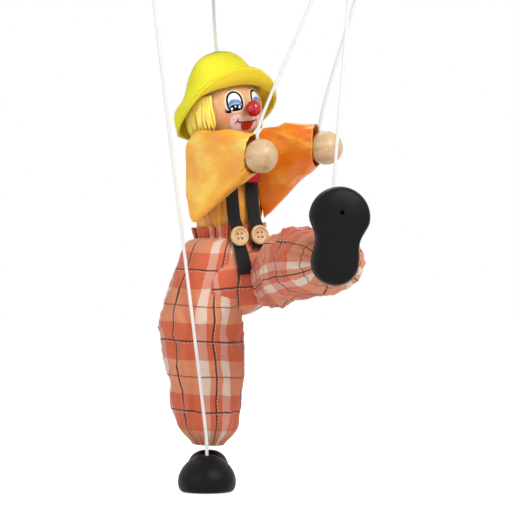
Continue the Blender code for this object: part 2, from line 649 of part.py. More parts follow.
right_shoe_hole = leg(-1, right_leg, RIGHT_LEG, RIGHT_HIP_AT, RIGHT_ANKLE_AT, RIGHT_LEG_LINE, RIGHT_DOWN, RIGHT_LEG_ROWS, right_shoe)
left_shoe_hole = leg(1, left_leg, LEFT_LEG, LEFT_HIP_AT, LEFT_ANKLE_AT, LEFT_LEG_LINE, LEFT_DOWN, LEFT_LEG_ROWS, left_shoe)

# Shoes: two rounded lobes and the waist between them
TOE_PROFILE = ((0, TOE_HEIGHT), (7, 27.3), (12.5, 24.6), (16.8, 19.5), (19.2, 12.5), (TOE_LOBE, 7), (19.0, 1.2), (17.8, 0))
HEEL_PROFILE = ((0, HEEL_HEIGHT), (6, 24.9), (10.5, 22.4), (13.5, 17.5), (14.9, 11), (HEEL_LOBE, 6), (14.5, 1.2), (13.4, 0))
WAIST_PROFILE = ((0, 20), (6, 19.4), (10.4, 16), (12.3, 10), (WAIST_LOBE, 5), (12.0, 1.2), (11.0, 0))


def shoe(label, frame, eye_hole):
    def lobe(name, profile, forward, material=None):
        return lathe(name, profile, 22, frame, material, Matrix.Translation((0, -forward, -ANKLE_HEIGHT)))

    body = lobe(label + "_shoe", TOE_PROFILE, LOBE_SPAN, BLACK)
    merge(body, lobe(label + " heel", HEEL_PROFILE, 0))
    merge(body, lobe(label + " waist", WAIST_PROFILE, 13.2))
    toe_start = Vector((0, -LOBE_SPAN - TOE_BORE_AHEAD, 2))
    bore(body, frame, [eye_hole, (toe_start, DOWN, STRING_BORE, ANKLE_HEIGHT + 4)])


shoe("right", right_shoe, right_shoe_hole)
shoe("left", left_shoe, left_shoe_hole)


# Strings: knotted on top of the control, ending in a hole in the piece they carry
def string(name, tie, entry, inner, reach_out):
    """tie is the hole's middle on the stick's top, entry a point just outside the lower hole, inner the end inside it."""
    knot = ((5.5, 0.85), (3.8, 0.9), (3.3, 1.9), (2.2, 2.1), (1.1, 1.9), (0.6, 0.9))
    path = [tie + UP * (rise - KNOT_SINK) for rise, _ in knot]
    radii = [radius for _, radius in knot]
    leave = tie + DOWN * (BAR_THICK + 2)
    out = (Vector(entry) - Vector(inner)).normalized()
    run = interpolate_bezier(leave, leave + DOWN * 14, Vector(entry) + out * reach_out, Vector(entry), 13)
    path += list(run) + [Vector(inner)]
    radii += [1.0] * (len(path) - len(radii))
    wire(name, path, STRING, control, WHITE, 2, radii)


def long_tie(way):
    return LONG @ Vector((way, 0, 0))


def short_tie(way):
    return SHORT @ Vector((way, 0, 0))


toe_way = -LOBE_SPAN - TOE_BORE_AHEAD
string("head_string", short_tie(HEAD_TIE), head.matrix @ Vector((0, 0, 42)), head.matrix @ Vector((0, 0, HEAD - 7)), 6)
string("right_hand_string", short_tie(RIGHT_HAND_TIE), right_arm.matrix @ Vector((RIGHT_REACH - 4, 0, HAND + 2)),
       right_arm.matrix @ Vector((RIGHT_REACH - 4, 0, 6)), 14)
string("left_hand_string", long_tie(LEFT_HAND_TIE), left_arm.matrix @ Vector((LEFT_REACH - 4, 0, HAND + 2)),
       left_arm.matrix @ Vector((LEFT_REACH - 4, 0, 6)), 14)
string("right_foot_string", long_tie(RIGHT_FOOT_TIE), right_shoe.matrix @ Vector((0, toe_way, 1)),
       right_shoe.matrix @ Vector((0, toe_way, 6 - ANKLE_HEIGHT)), 14)
string("left_foot_string", long_tie(LEFT_FOOT_TIE), left_shoe.matrix @ Vector((0, toe_way, 1)),
       left_shoe.matrix @ Vector((0, toe_way, 6 - ANKLE_HEIGHT)), 10)
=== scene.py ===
import math
import random

import bmesh
import bpy
import numpy as np
from mathutils import Matrix, Vector, noise
from mathutils.geometry import interpolate_bezier


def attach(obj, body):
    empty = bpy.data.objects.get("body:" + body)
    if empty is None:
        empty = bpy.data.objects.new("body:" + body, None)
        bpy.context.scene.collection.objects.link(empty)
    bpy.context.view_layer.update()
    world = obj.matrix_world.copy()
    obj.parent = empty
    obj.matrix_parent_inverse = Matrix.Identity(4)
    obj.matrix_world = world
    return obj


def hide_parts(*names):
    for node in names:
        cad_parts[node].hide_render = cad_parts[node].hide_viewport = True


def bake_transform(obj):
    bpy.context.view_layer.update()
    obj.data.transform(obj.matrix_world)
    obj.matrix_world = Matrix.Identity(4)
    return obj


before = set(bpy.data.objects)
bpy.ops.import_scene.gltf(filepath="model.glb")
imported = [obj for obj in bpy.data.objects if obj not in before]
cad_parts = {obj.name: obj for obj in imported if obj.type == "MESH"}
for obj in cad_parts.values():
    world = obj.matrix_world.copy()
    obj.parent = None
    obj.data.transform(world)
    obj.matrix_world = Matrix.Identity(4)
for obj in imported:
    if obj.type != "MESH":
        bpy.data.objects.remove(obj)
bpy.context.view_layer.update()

MM = 0.001
FULL_TURN = 2 * math.pi
UP = Vector((0, 0, 1))
DOWN = Vector((0, 0, -1))
X_AXIS = Vector((1, 0, 0))

# Sizes shared with the solids, in millimetres
HEAD = 24.8
HAND = 11.3
HAND_FLAT = 8.0
HAND_HOLE_BACK = 4.0
ANKLE_HEIGHT = 30.0
LOBE_SPAN = 28.3
TOE_WAY = -LOBE_SPAN - 3.0
SHOULDER_Z = 72.5
HEAD_ENTRY = 42
STRING = 1.1
BAR_THICK = 6.0

# Where the strings are tied: on the long stick from its middle, on the short one from the crossing
HEAD_TIE = -63.3
RIGHT_HAND_TIE = 39
LEFT_HAND_TIE = 72.8
RIGHT_FOOT_TIE = -72.8
LEFT_FOOT_TIE = 64.6


# Placings of the bodies, in millimetres
def turn(axis, degrees):
    return Matrix.Rotation(math.radians(degrees), 4, axis)


def axes(at, x_axis, z_axis):
    z_dir = Vector(z_axis).normalized()
    y_dir = z_dir.cross(Vector(x_axis)).normalized()
    x_dir = y_dir.cross(z_dir)
    return Matrix.Translation(at) @ Matrix((x_dir, y_dir, z_dir)).transposed().to_4x4()


def arm_placing(shoulder, hand_at):
    reach = hand_at - shoulder
    yaw = math.degrees(math.atan2(reach.y, reach.x))
    pitch = math.degrees(math.atan2(reach.z, math.hypot(reach.x, reach.y)))
    return Matrix.Translation(shoulder) @ turn("Z", yaw) @ turn("Y", -pitch), reach.length


TORSO = Matrix.Translation((-16.45, 41.7, -205.7)) @ turn("Y", -4) @ turn("Z", 32)
HEAD_FRAME = Matrix.Translation((-20.55, 41.7, -98.4)) @ turn("Y", -9) @ turn("Z", 38)
RIGHT_SHOULDER = TORSO @ Vector((-19, -14.6, SHOULDER_Z))
LEFT_SHOULDER = TORSO @ Vector((19, -14.6, SHOULDER_Z))
RIGHT_ARM, RIGHT_REACH = arm_placing(RIGHT_SHOULDER, Vector((3.55, -22.3, -133.8)))
LEFT_ARM, LEFT_REACH = arm_placing(LEFT_SHOULDER, Vector((47.25, 6.7, -127.0)))
RIGHT_HIP = TORSO @ Vector((-13, 0, 0))
LEFT_HIP = TORSO @ Vector((13, 0, 0))
RIGHT_ANKLE = Vector((-32.85, 36.7, -327.8))
LEFT_ANKLE = Vector((46.45, -61.3, -203.6))
RIGHT_LEG = axes(RIGHT_HIP, (1, 0, 0), RIGHT_HIP - RIGHT_ANKLE)
LEFT_LEG = axes(LEFT_HIP, (0.904, 0.427, 0), LEFT_HIP - LEFT_ANKLE)
RIGHT_FOOT = Matrix.Translation(RIGHT_ANKLE)
LEFT_FOOT = Matrix.Translation(LEFT_ANKLE) @ turn("Z", 9) @ turn("X", -90) @ turn("Z", 6)


# Each piece rides on its body and hides the solids that it stands for
def declare(piece, slot, *nodes):
    if nodes:
        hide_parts(*nodes)


def settle(piece, body, slot, *nodes):
    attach(piece, body)
    declare(piece, slot, *nodes)


# Mesh helpers; points are in millimetres and are placed by a matrix
def add(name, data):
    made = bpy.data.objects.new(name, data)
    bpy.context.scene.collection.objects.link(made)
    return made


def new_mesh(name, points, faces, material, placing=None, smooth=True):
    mesh = bpy.data.meshes.new(name)
    mesh.from_pydata([(placing @ Vector(p) if placing else Vector(p)) * MM for p in points], [], faces)
    for polygon in mesh.polygons:
        polygon.use_smooth = smooth
    mesh.materials.append(material)
    mesh.update()
    return add(name, mesh)


def angles(count):
    return [FULL_TURN * n / count for n in range(count)]


def ringed(rows, columns, spot):
    """A ring of points for each row; spot gives a row's point at an angle."""
    return [[spot(row, angle) for angle in angles(columns)] for row in rows]


def flat(rings):
    return [point for ring in rings for point in ring]


def numbered(rings, first=0):
    """Rows of point numbers for rings of equally many points."""
    count = len(rings[0])
    return [list(range(first + n * count, first + (n + 1) * count)) for n in range(len(rings))]


def joined(rows, closed=True):
    faces = []
    for upper, lower in zip(rows, rows[1:]):
        longest = max(len(upper), len(lower))
        for i in range(longest if closed else longest - 1):
            places = ((upper, i), (upper, i + 1), (lower, i + 1), (lower, i))
            faces.append(tuple(dict.fromkeys(row[n % len(row)] for row, n in places)))
    return faces


def face_the_right_way(made, merge=False, caps=()):
    work = bmesh.new()
    work.from_mesh(made.data)
    work.verts.ensure_lookup_table()
    for row in caps:
        work.faces.new([work.verts[n] for n in row])
    if merge:
        bmesh.ops.remove_doubles(work, verts=work.verts, dist=1e-6)
    bmesh.ops.recalc_face_normals(work, faces=work.faces)
    work.to_mesh(made.data)
    work.free()


def grid(name, rings, material, placing=None, uv=None):
    """A tube through rings of equally many points; uv gives their places on the cloth, in millimetres."""
    count = len(rings[0])
    made = new_mesh(name, flat(rings), joined(numbered(rings)), material, placing)
    face_the_right_way(made)
    if uv:
        layer = made.data.uv_layers.new(name="cloth")
        for polygon in made.data.polygons:
            columns = [made.data.loops[n].vertex_index % count for n in polygon.loop_indices]
            wraps = max(columns) - min(columns) > 1
            for loop, column in zip(polygon.loop_indices, columns):
                row = made.data.loops[loop].vertex_index // count
                layer.data[loop].uv = uv(row, count if wraps and column == 0 else column)
    return made


def smooth_profile(points, steps=6):
    """A denser profile through the given points, with no overshoot at its ends."""
    given = [np.array(point, float) for point in points]
    last = len(given) - 1
    dense = []
    for n in range(last):
        before, here, after, beyond = (given[k] for k in (max(n - 1, 0), n, n + 1, min(n + 2, last)))
        for k in range(steps):
            t = k / steps
            curve = 2 * here + (after - before) * t + (2 * before - 5 * here + 4 * after - beyond) * t * t
            curve += (3 * here - before - 3 * after + beyond) * t ** 3
            dense.append(tuple(curve / 2))
    dense.append(tuple(points[-1]))
    return dense


def ease(low, high, value):
    share = min(max((value - low) / (high - low), 0), 1)
    return share * share * (3 - 2 * share)


def signed_power(value, power):
    return math.copysign(abs(value) ** power, value)


def lathe(name, profile, sides, material, placing):
    points = []
    rows = []
    for radius, height in profile:
        first = len(points)
        if radius < 1e-6:
            points.append((0, 0, height))
            rows.append([first])
            continue
        points += [(radius * math.cos(angle), radius * math.sin(angle), height) for angle in angles(sides)]
        rows.append(list(range(first, first + sides)))
    faces = joined(rows)
    faces += [tuple(row) for row in (rows[0], rows[-1]) if len(row) > 1]
    made = new_mesh(name, points, faces, material)
    face_the_right_way(made)
    made.matrix_world = Matrix.Translation(placing.to_translation() * MM) @ placing.to_3x3().to_4x4()
    return made


def headings(path):
    """The way that a path runs at each of its points."""
    last = len(path) - 1
    return [(path[min(n + 1, last)] - path[max(n - 1, 0)]).normalized() for n in range(last + 1)]


def tube_rings(path, radius, sides, radii=None):
    """Rings about a path, turned as little as possible from one to the next."""
    rings = []
    side = None
    for point, run, share in zip(path, headings(path), radii or [1] * len(path)):
        if side is None:
            side = run.orthogonal().normalized()
        side = (side - run * side.dot(run)).normalized()
        other = run.cross(side)
        size = radius * share
        ways = [side * math.cos(angle) + other * math.sin(angle) for angle in angles(sides)]
        rings.append([point + way * size for way in ways])
    return rings


# Colours are written as they look and turned into scene values
def colour(red, green, blue):
    def linear(value):
        share = value / 255
        return share / 12.92 if share <= 0.04045 else ((share + 0.055) / 1.055) ** 2.4

    return linear(red), linear(green), linear(blue), 1.0


def grey(level):
    return level, level, level, 1


def darker(shade, share):
    return tuple(share * part for part in shade[:3]) + (1,)


class Nodes:
    """Short ways to add nodes to a tree; a node is given constants and other nodes' outputs."""

    def __init__(self, tree):
        self.tree = tree

    def node(self, kind, given=None, **settings):
        made = self.tree.nodes.new("ShaderNode" + kind)
        for key, value in settings.items():
            setattr(made, key, value)
        for key, value in (given or {}).items():
            if isinstance(value, (int, float, tuple)):
                made.inputs[key].default_value = value
            else:
                self.tree.links.new(value, made.inputs[key])
        return made

    def value(self, operation, first, second=None):
        given = {0: first} if second is None else {0: first, 1: second}
        return self.node("Math", given, operation=operation).outputs[0]

    def times(self, first, second):
        return self.value("MULTIPLY", first, second)

    def wave(self, way, pitch):
        return self.value("SINE", self.times(way, FULL_TURN / pitch))

    def split(self, vector):
        return self.node("SeparateXYZ", {0: vector}).outputs[:2]

    def backed(self, lit, pale, output):
        """The lit shader, or the pale one where a ray sees, mirrors or passes on the background."""
        ray = self.node("LightPath").outputs
        passed_on = self.value("MAXIMUM", ray["Is Glossy Ray"], ray["Is Transmission Ray"])
        seen = self.value("MAXIMUM", ray["Is Camera Ray"], passed_on)
        chosen = self.node("MixShader", {0: seen, 1: lit.outputs[0], 2: pale.outputs[0]})
        self.tree.links.new(chosen.outputs[0], self.tree.nodes[output].inputs["Surface"])


class Paint(Nodes):
    """A material and short ways to shape its surface."""

    def __init__(self, name, base, rough):
        self.material = bpy.data.materials.new(name)
        self.material.use_nodes = True
        super().__init__(self.material.node_tree)
        self.shader = self.tree.nodes["Principled BSDF"]
        self.put({"Base Color": base, "Roughness": rough})

    def put(self, values):
        for key, value in values.items():
            self.shader.inputs[key].default_value = value

    def noise(self, scale, detail, coordinates=None, roughness=0.6):
        given = {"Scale": scale, "Detail": detail, "Roughness": roughness}
        if coordinates is not None:
            given["Vector"] = coordinates
        return self.node("TexNoise", given).outputs["Fac"]

    def cloth_noise(self, across, along, detail, roughness=0.6):
        return self.noise(1.0, detail, self.coordinates((across, along, 1), "UV"), roughness)

    def coordinates(self, scale=(1, 1, 1), kind="Object"):
        source = self.node("TexCoord").outputs[kind]
        return self.node("Mapping", {"Scale": scale, "Vector": source}).outputs["Vector"]

    def ramp(self, factor, stops, interpolation="LINEAR"):
        made = self.node("ValToRGB", {"Fac": factor})
        made.color_ramp.interpolation = interpolation
        elements = made.color_ramp.elements
        elements[0].position, elements[0].color = stops[0]
        elements[1].position, elements[1].color = stops[-1]
        for position, shade in stops[1:-1]:
            elements.new(position).color = shade
        return made.outputs["Color"]

    def mix(self, factor, first, second, kind="MIX"):
        given = {0: factor, 6: first, 7: second}
        return self.node("Mix", given, data_type="RGBA", blend_type=kind).outputs[2]

    def bump(self, height, strength, distance):
        given = {"Strength": strength, "Distance": distance, "Height": height}
        normal = self.shader.inputs["Normal"]
        if normal.is_linked:
            given["Normal"] = normal.links[0].from_socket
        self.tree.links.new(self.node("Bump", given).outputs["Normal"], normal)

    def base(self, shade):
        self.tree.links.new(shade, self.shader.inputs["Base Color"])


# Camera, floor and light, in metres apart from the floor
CAMERA_AT = (0.00285, -1.4583, -0.2023)
CAMERA_LENS = 150.94
FLOOR_Z = -358.4
FLOOR_HALF = 4000
AIM = Vector((0, 0, -0.2))
LAMPS = (("key", (0.75, -1.0, 0.75), 0.55, 17), ("fill", (-1.0, -0.9, 0.2), 0.9, 5),
         ("rim", (-0.3, 0.9, 0.9), 0.7, 6))


def make_stage():
    camera = add("camera", bpy.data.cameras.new("camera"))
    camera.data.lens = CAMERA_LENS
    camera.data.sensor_width = 36
    camera.data.clip_end = 20
    camera.location = CAMERA_AT
    camera.rotation_euler = (math.pi / 2, 0, 0)
    bpy.context.scene.camera = camera

    floor = Paint("floor_pale", grey(0.82), 0.9)
    shaded = floor.node("BsdfDiffuse", {"Color": grey(0.4)})
    glow = floor.node("Emission", {"Strength": 0.83})
    both = floor.node("AddShader", {0: shaded.outputs[0], 1: glow.outputs[0]})
    floor.backed(floor.shader, both, "Material Output")
    corners = [(x * FLOOR_HALF, y * FLOOR_HALF, FLOOR_Z) for x, y in ((-1, -1), (1, -1), (1, 1), (-1, 1))]
    plane = new_mesh("floor", corners, [(0, 1, 2, 3)], floor.material, None, False)

    world = bpy.data.worlds.new("studio")
    world.use_nodes = True
    bpy.context.scene.world = world
    studio = Nodes(world.node_tree)
    light = world.node_tree.nodes["Background"]
    light.inputs["Color"].default_value = grey(1)
    light.inputs["Strength"].default_value = 0.5
    studio.backed(light, studio.node("Background", {"Color": grey(1), "Strength": 1.0}), "World Output")

    for name, at, size, power in LAMPS:
        data = bpy.data.lights.new(name, "AREA")
        data.size = size
        data.energy = power
        made = add(name, data)
        made.location = at
        made.rotation_euler = (AIM - made.location).to_track_quat("-Z", "Y").to_euler()
    bpy.context.scene.view_settings.view_transform = "Standard"


make_stage()


# Braided white string
def string_paint():
    paint = Paint("string_braid", colour(238, 236, 230), 0.75)
    turns, way = paint.split(paint.coordinates(kind="UV"))
    around = paint.times(turns, FULL_TURN * 4)
    along = paint.times(way, FULL_TURN / 1.7)
    one_way = paint.value("SINE", paint.value("ADD", around, along))
    other_way = paint.value("SINE", paint.value("SUBTRACT", around, along))
    strands = paint.value("MAXIMUM", one_way, other_way)
    paint.bump(strands, 0.9, 0.0003)
    shade = paint.ramp(strands, [(0.0, colour(236, 234, 228)), (0.6, colour(255, 255, 252))])
    fibres = paint.noise(2600, 3)
    paint.base(paint.mix(paint.times(fibres, 0.25), shade, colour(248, 246, 240)))
    paint.put({"Sheen Weight": 0.4})
    return paint.material


STRING_PAINT = string_paint()
LONG_BAR = turn("Z", -13.26)
CROSSING = LONG_BAR @ Vector((15.26, 0, 0))
SHORT_BAR = Matrix.Translation(CROSSING + Vector((0, 0, -BAR_THICK - 0.3))) @ turn("Z", -45.55)


def lengths(path):
    run = [0.0]
    for before, after in zip(path, path[1:]):
        run.append(run[-1] + (after - before).length)
    return run


def braided(name, path, radius, sides=10, radii=None):
    """A tube whose cloth coordinates are turns about it and millimetres along it."""
    way = lengths(path)
    rings = tube_rings(path, radius, sides, radii)
    return grid(name, rings, STRING_PAINT, None, lambda row, column: (column / sides, way[row]))


def knot(name, tie):
    """An overhand knot on top of the stick, with the cut end standing up from it."""
    path = []
    steps = 61
    for n in range(steps):
        angle = FULL_TURN * n / steps * 0.93
        wide = 1.0 + 0.42 * math.cos(3 * angle)
        spot = Vector((wide * math.cos(2 * angle), wide * math.sin(2 * angle), 0.75 * math.sin(3 * angle)))
        path.append(tie + UP * 1.1 + spot * 1.05)
    made = braided(name, path, 0.8, 8)
    end = [tie + Vector((0.3 * math.sin(n), 0.25 * math.cos(2 * n), 1.4 + 0.55 * n)) for n in range(6)]
    cut_end = braided(name + "_end", end, 0.85, 8, [1, 1, 1, 1, 1.08, 1.15])
    for piece in (made, cut_end):
        settle(piece, "control", "string")
    return [made, cut_end]


def string(node, tie, entry, inner, reach_out, bodies):
    """A string from the stick to the figure, in one piece for each joint that it passes."""
    leave = tie + DOWN * (BAR_THICK + 2)
    out = (entry - inner).normalized()
    drop = 14
    steps = 97
    run = interpolate_bezier(leave, leave + DOWN * drop, entry + out * reach_out, entry, steps)
    top = [tie + UP * 0.6, tie + DOWN * 2, tie + DOWN * 5]
    down = [entry + (inner - entry) * share for share in (0.35, 0.7, 1.0)]
    path = top + list(run) + down
    way = lengths(path)
    parts = len(bodies) - 1
    cuts = [0]
    for n in range(1, parts):
        cuts.append(min(range(len(way)), key=lambda k: abs(way[k] - way[-1] * n / parts)))
    cuts.append(len(path) - 1)
    for n in range(parts):
        piece_path = path[cuts[n]:cuts[n + 1] + 1]
        made = braided(f"{node}_{n + 1}", piece_path, STRING)
        declare(made, "string", node)
        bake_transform(made)
        tied = knot(node + "_knot", tie) if n == 0 else ()
        metres = [point * MM for point in piece_path]
        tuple(metres[0])
        lengths(metres)[-1]


def make_strings():
    string("head_string", SHORT_BAR @ Vector((HEAD_TIE, 0, 0)), HEAD_FRAME @ Vector((0, 0, HEAD_ENTRY)),
           HEAD_FRAME @ Vector((0, 0, HEAD - 7)), 6, ("control", "torso", "head"))
    for side, bar, tie, arm, reach in (("right", SHORT_BAR, RIGHT_HAND_TIE, RIGHT_ARM, RIGHT_REACH),
                                       ("left", LONG_BAR, LEFT_HAND_TIE, LEFT_ARM, LEFT_REACH)):
        hole = reach - HAND_HOLE_BACK
        string(side + "_hand_string", bar @ Vector((tie, 0, 0)), arm @ Vector((hole, 0, HAND + 2)),
               arm @ Vector((hole, 0, 6)), 14, ("control", "torso", side + "_arm"))
    toe_up = Vector((0, TOE_WAY, 1))
    toe_in = Vector((0, TOE_WAY, 6 - ANKLE_HEIGHT))
    for side, tie, foot, reach_out in (("right", RIGHT_FOOT_TIE, RIGHT_FOOT, 14),
                                       ("left", LEFT_FOOT_TIE, LEFT_FOOT, 10)):
        string(side + "_foot_string", LONG_BAR @ Vector((tie, 0, 0)), foot @ toe_up, foot @ toe_in, reach_out,
               ("control", "torso", side + "_leg", side + "_foot"))


make_strings()


# Wood and paint
CLEAR = grey(0)


def wood_paint(name, light, dark, across=170, rough=0.42):
    """Grain along the piece's own length, with fine dark pores."""
    paint = Paint(name, light, rough)
    grain = paint.noise(1.0, 5, paint.coordinates((across, across, across * 0.09)), 0.65)
    between = tuple(0.6 * a + 0.4 * b for a, b in zip(light, dark))
    shade = paint.ramp(grain, [(0.3, light), (0.52, between), (0.75, dark)])
    pores = paint.noise(1.0, 2, paint.coordinates((1900, 1900, 110)), 0.5)
    fleck = paint.ramp(pores, [(0.56, CLEAR), (0.72, grey(0.55))])
    paint.base(paint.mix(fleck, shade, darker(dark, 0.72)))
    paint.bump(grain, 0.12, 0.0004)
    paint.bump(pores, 0.08, 0.0002)
    paint.put({"Coat Weight": 0.08, "Coat Roughness": 0.22})
    return paint


def lacquer(name, base, rough, coat, speckle=None, gloss=0.5):
    """Brushed paint: a faint unevenness in colour and surface under a clear coat."""
    paint = Paint(name, base, rough)
    uneven = paint.ramp(paint.noise(420, 4), [(0.35, CLEAR), (0.75, grey(0.8))])
    paint.base(paint.mix(uneven, base, speckle or darker(base, 0.78)))
    paint.bump(paint.noise(260, 3), 0.1, 0.0004)
    paint.bump(paint.noise(2400, 2), 0.06, 0.0001)
    paint.put({"Specular IOR Level": gloss, "Coat Weight": coat, "Coat Roughness": 0.12})
    return paint.material


def face_point(across, rise, lift):
    """Millimetres along the head's surface from the middle of the face, in the head's own frame."""
    turned = across / HEAD
    raised = rise / HEAD
    level = math.cos(raised)
    return Vector((math.sin(turned) * level, -math.cos(turned) * level, math.sin(raised))) * (HEAD + lift)


BLUSH_ACROSS = 16.5
BLUSH_RISE = -7.5


def head_paint():
    """Turned wood with a soft blush on both cheeks."""
    paint = wood_paint("wood_head", colour(226, 181, 134), colour(199, 146, 98), 120)
    plain = paint.shader.inputs["Base Color"].links[0].from_socket
    cheeks = []
    for side in (-1, 1):
        given = {0: paint.coordinates(), 1: tuple(face_point(side * BLUSH_ACROSS, BLUSH_RISE, 0) * MM)}
        away = paint.node("VectorMath", given, operation="DISTANCE").outputs["Value"]
        cheeks.append(paint.ramp(paint.times(away, 100), [(0.15, grey(0.5)), (0.75, CLEAR)], "EASE"))
    blush = paint.mix(1.0, cheeks[0], cheeks[1], "ADD")
    paint.base(paint.mix(blush, plain, colour(226, 128, 104)))
    return paint.material


WOOD = wood_paint("wood_turned", colour(212, 181, 140), colour(184, 142, 99)).material
WOOD_PALE = wood_paint("wood_button", colour(229, 198, 153), colour(190, 142, 92), 260).material
RED = lacquer("paint_red", colour(188, 8, 26), 0.24, 0.35, colour(176, 6, 22), 0.4)
BLACK = lacquer("paint_black", colour(13, 13, 14), 0.45, 0.0, colour(18, 18, 20), 0.12)
EYE_BLACK = lacquer("paint_eye_black", colour(5, 4, 4), 0.5, 0.0, None, 0.1)
EYE_WHITE = lacquer("paint_eye_white", colour(240, 240, 238), 0.35, 0.3, colour(222, 222, 222))
EYE_BLUE = lacquer("paint_eye_blue", colour(66, 104, 180), 0.35, 0.3, colour(84, 124, 196))
EYE_SKY = lacquer("paint_eye_sky", colour(140, 172, 218), 0.35, 0.3)
HALO = lacquer("paint_halo", colour(240, 222, 202), 0.4, 0.2)
MUZZLE = lacquer("paint_muzzle", colour(232, 208, 203), 0.4, 0.2, colour(226, 184, 184))
LIP_DARK = lacquer("paint_smile", colour(140, 14, 26), 0.3, 0.4)
HEAD_WOOD = head_paint()


# Pieces of turned wood
def bore(target, placing, radius, low, high, sides=24):
    """Cuts a round hole along the placing's own z and leaves its edges sharp."""
    tool = lathe("hole", [(radius, low), (radius, high)], sides, target.data.materials[0], placing)
    change = target.modifiers.new("cut", "BOOLEAN")
    change.operation = "DIFFERENCE"
    change.object = tool
    change.solver = "EXACT"
    bpy.context.view_layer.update()
    shaped = bpy.data.meshes.new_from_object(target.evaluated_get(bpy.context.evaluated_depsgraph_get()))
    target.modifiers.clear()
    target.data = shaped
    bpy.data.objects.remove(tool)
    for polygon in shaped.polygons:
        polygon.use_smooth = True
    shaped.set_sharp_from_angle(angle=math.radians(38))


def on_ball(radius, angle):
    return radius * math.sin(angle), radius * math.cos(angle)


NOSE = 5.5
NOSE_OUT = 30.6
NOSE_DROP = 4.3
NOSE_PEG = 2.2
NOSE_PEG_START = -5.04
NOSE_PEG_END = -9.6
HEAD_HOLE = 1.5
HEAD_HOLE_EDGE = 1.9
HAND_HOLE = 1.45
HAND_HOLE_FLOOR = 3
TOE_HOLE = 1.5
CUT_PAST = 4


def make_head():
    steps = 60
    floor = HEAD - 9
    profile = [(0, floor), (HEAD_HOLE, floor), (HEAD_HOLE, math.sqrt(HEAD ** 2 - HEAD_HOLE ** 2) - 0.2)]
    profile.append((HEAD_HOLE_EDGE, math.sqrt(HEAD ** 2 - HEAD_HOLE_EDGE ** 2)))
    start = math.asin(HEAD_HOLE_EDGE / HEAD)
    profile += [on_ball(HEAD, start + (math.pi - start) * n / steps) for n in range(1, steps)]
    profile.append((0, -HEAD))
    settle(lathe("head_turned", profile, 120, HEAD_WOOD, HEAD_FRAME), "head", "wood", "head_ball")
    out = Vector((0, -1, -NOSE_DROP / NOSE_OUT)).normalized()
    place = HEAD_FRAME @ axes(out * NOSE_OUT, (1, 0, 0), out)
    nose = [on_ball(NOSE, math.pi * n / 40) for n in range(35)]
    nose += [(NOSE_PEG, NOSE_PEG_START), (NOSE_PEG, NOSE_PEG_END), (0, NOSE_PEG_END)]
    settle(lathe("nose_ball", nose, 64, RED, place), "head", "red_paint", "nose")


def make_hand(side, placing, reach):
    edge = math.sqrt(HAND ** 2 - HAND_FLAT ** 2)
    end = math.pi - math.asin(edge / HAND)
    steps = 44
    profile = [on_ball(HAND, end * n / steps) for n in range(steps)]
    profile += [(edge - 0.15, -HAND_FLAT + 0.1), (edge - 0.7, -HAND_FLAT), (2.6, -HAND_FLAT), (0, -HAND_FLAT)]
    along_arm = placing @ Matrix.Translation((reach, 0, 0)) @ turn("Y", 90)
    made = lathe(side + "_hand_ball", profile, 80, WOOD, along_arm)
    hole_at = placing @ Matrix.Translation((reach - HAND_HOLE_BACK, 0, 0))
    bore(made, hole_at, HAND_HOLE, HAND_HOLE_FLOOR, HAND + CUT_PAST)
    settle(made, side + "_arm", "wood", side + "_hand")


TOE = ((0, 24.8), (5, 24.2), (9.8, 22.2), (14, 18.8), (17.2, 14.6), (19, 10.4), (19.5, 7), (19.3, 4),
       (18.3, 1.3), (16.9, 0))
HEEL = ((0, 25.45), (4, 25.2), (7.6, 24.1), (11, 21.6), (13.4, 17.4), (14.7, 12.2), (15, 7), (14.9, 4),
        (14.1, 1.3), (12.8, 0))
WAIST_NARROW = 0.17
WAIST_LOW = 0.2


def make_shoe(side, placing):
    """A turned toe and heel with a waist between them, in one smooth skin round the outline."""
    toe = smooth_profile(TOE, 5) + [(0, 0)]
    heel = smooth_profile(HEEL, 5) + [(0, 0)]
    half_turn = 44
    bridge = 30

    def swept(profile, start, forward):
        lines = []
        for n in range(half_turn + 1):
            angle = start + math.pi * n / half_turn
            c, s = math.cos(angle), math.sin(angle)
            lines.append([Vector((r * c, r * s - forward, z)) for r, z in profile])
        return lines

    waist = []
    for n in range(1, bridge):
        share = n / bridge
        dip = math.sin(math.pi * share) ** 2
        line = []
        for (toe_r, toe_z), (heel_r, heel_z) in zip(toe, heel):
            r = (toe_r + (heel_r - toe_r) * ease(0, 1, share)) * (1 - WAIST_NARROW * dip)
            z = (toe_z + (heel_z - toe_z) * ease(0, 1, share)) * (1 - WAIST_LOW * dip)
            line.append(Vector((r, (share - 1) * LOBE_SPAN, z)))
        waist.append(line)
    lines = swept(toe, math.pi, LOBE_SPAN) + waist + swept(heel, 0, 0)
    lines += [[Vector((-p.x, p.y, p.z)) for p in line] for line in waist[::-1]]
    rings = [list(ring) for ring in zip(*lines)]
    made = grid(side + "_shoe_turned", rings, BLACK, placing @ Matrix.Translation((0, 0, -ANKLE_HEIGHT)))
    face_the_right_way(made, merge=True)
    bore(made, placing @ Matrix.Translation((0, TOE_WAY, 0)), TOE_HOLE, -ANKLE_HEIGHT - 3, CUT_PAST)
    made.data.set_sharp_from_angle(angle=math.radians(40))
    settle(made, side + "_foot", "black_paint", side + "_shoe")


BUTTON = ((0, 1.9), (4.3, 1.9), (4.7, 2.2), (5.0, 2.8), (5.35, 3.0), (5.9, 2.95), (6.4, 2.7), (6.7, 2.3),
          (6.7, 0.6), (6.5, 0.2), (6.2, 0), (0, 0))
BUTTON_HOLES = (-1.6, 1.6)
BUTTON_HOLE = 0.75
BUTTON_ACROSS = 8
BUTTON_FORWARD = -24.6
BUTTON_UP = 19


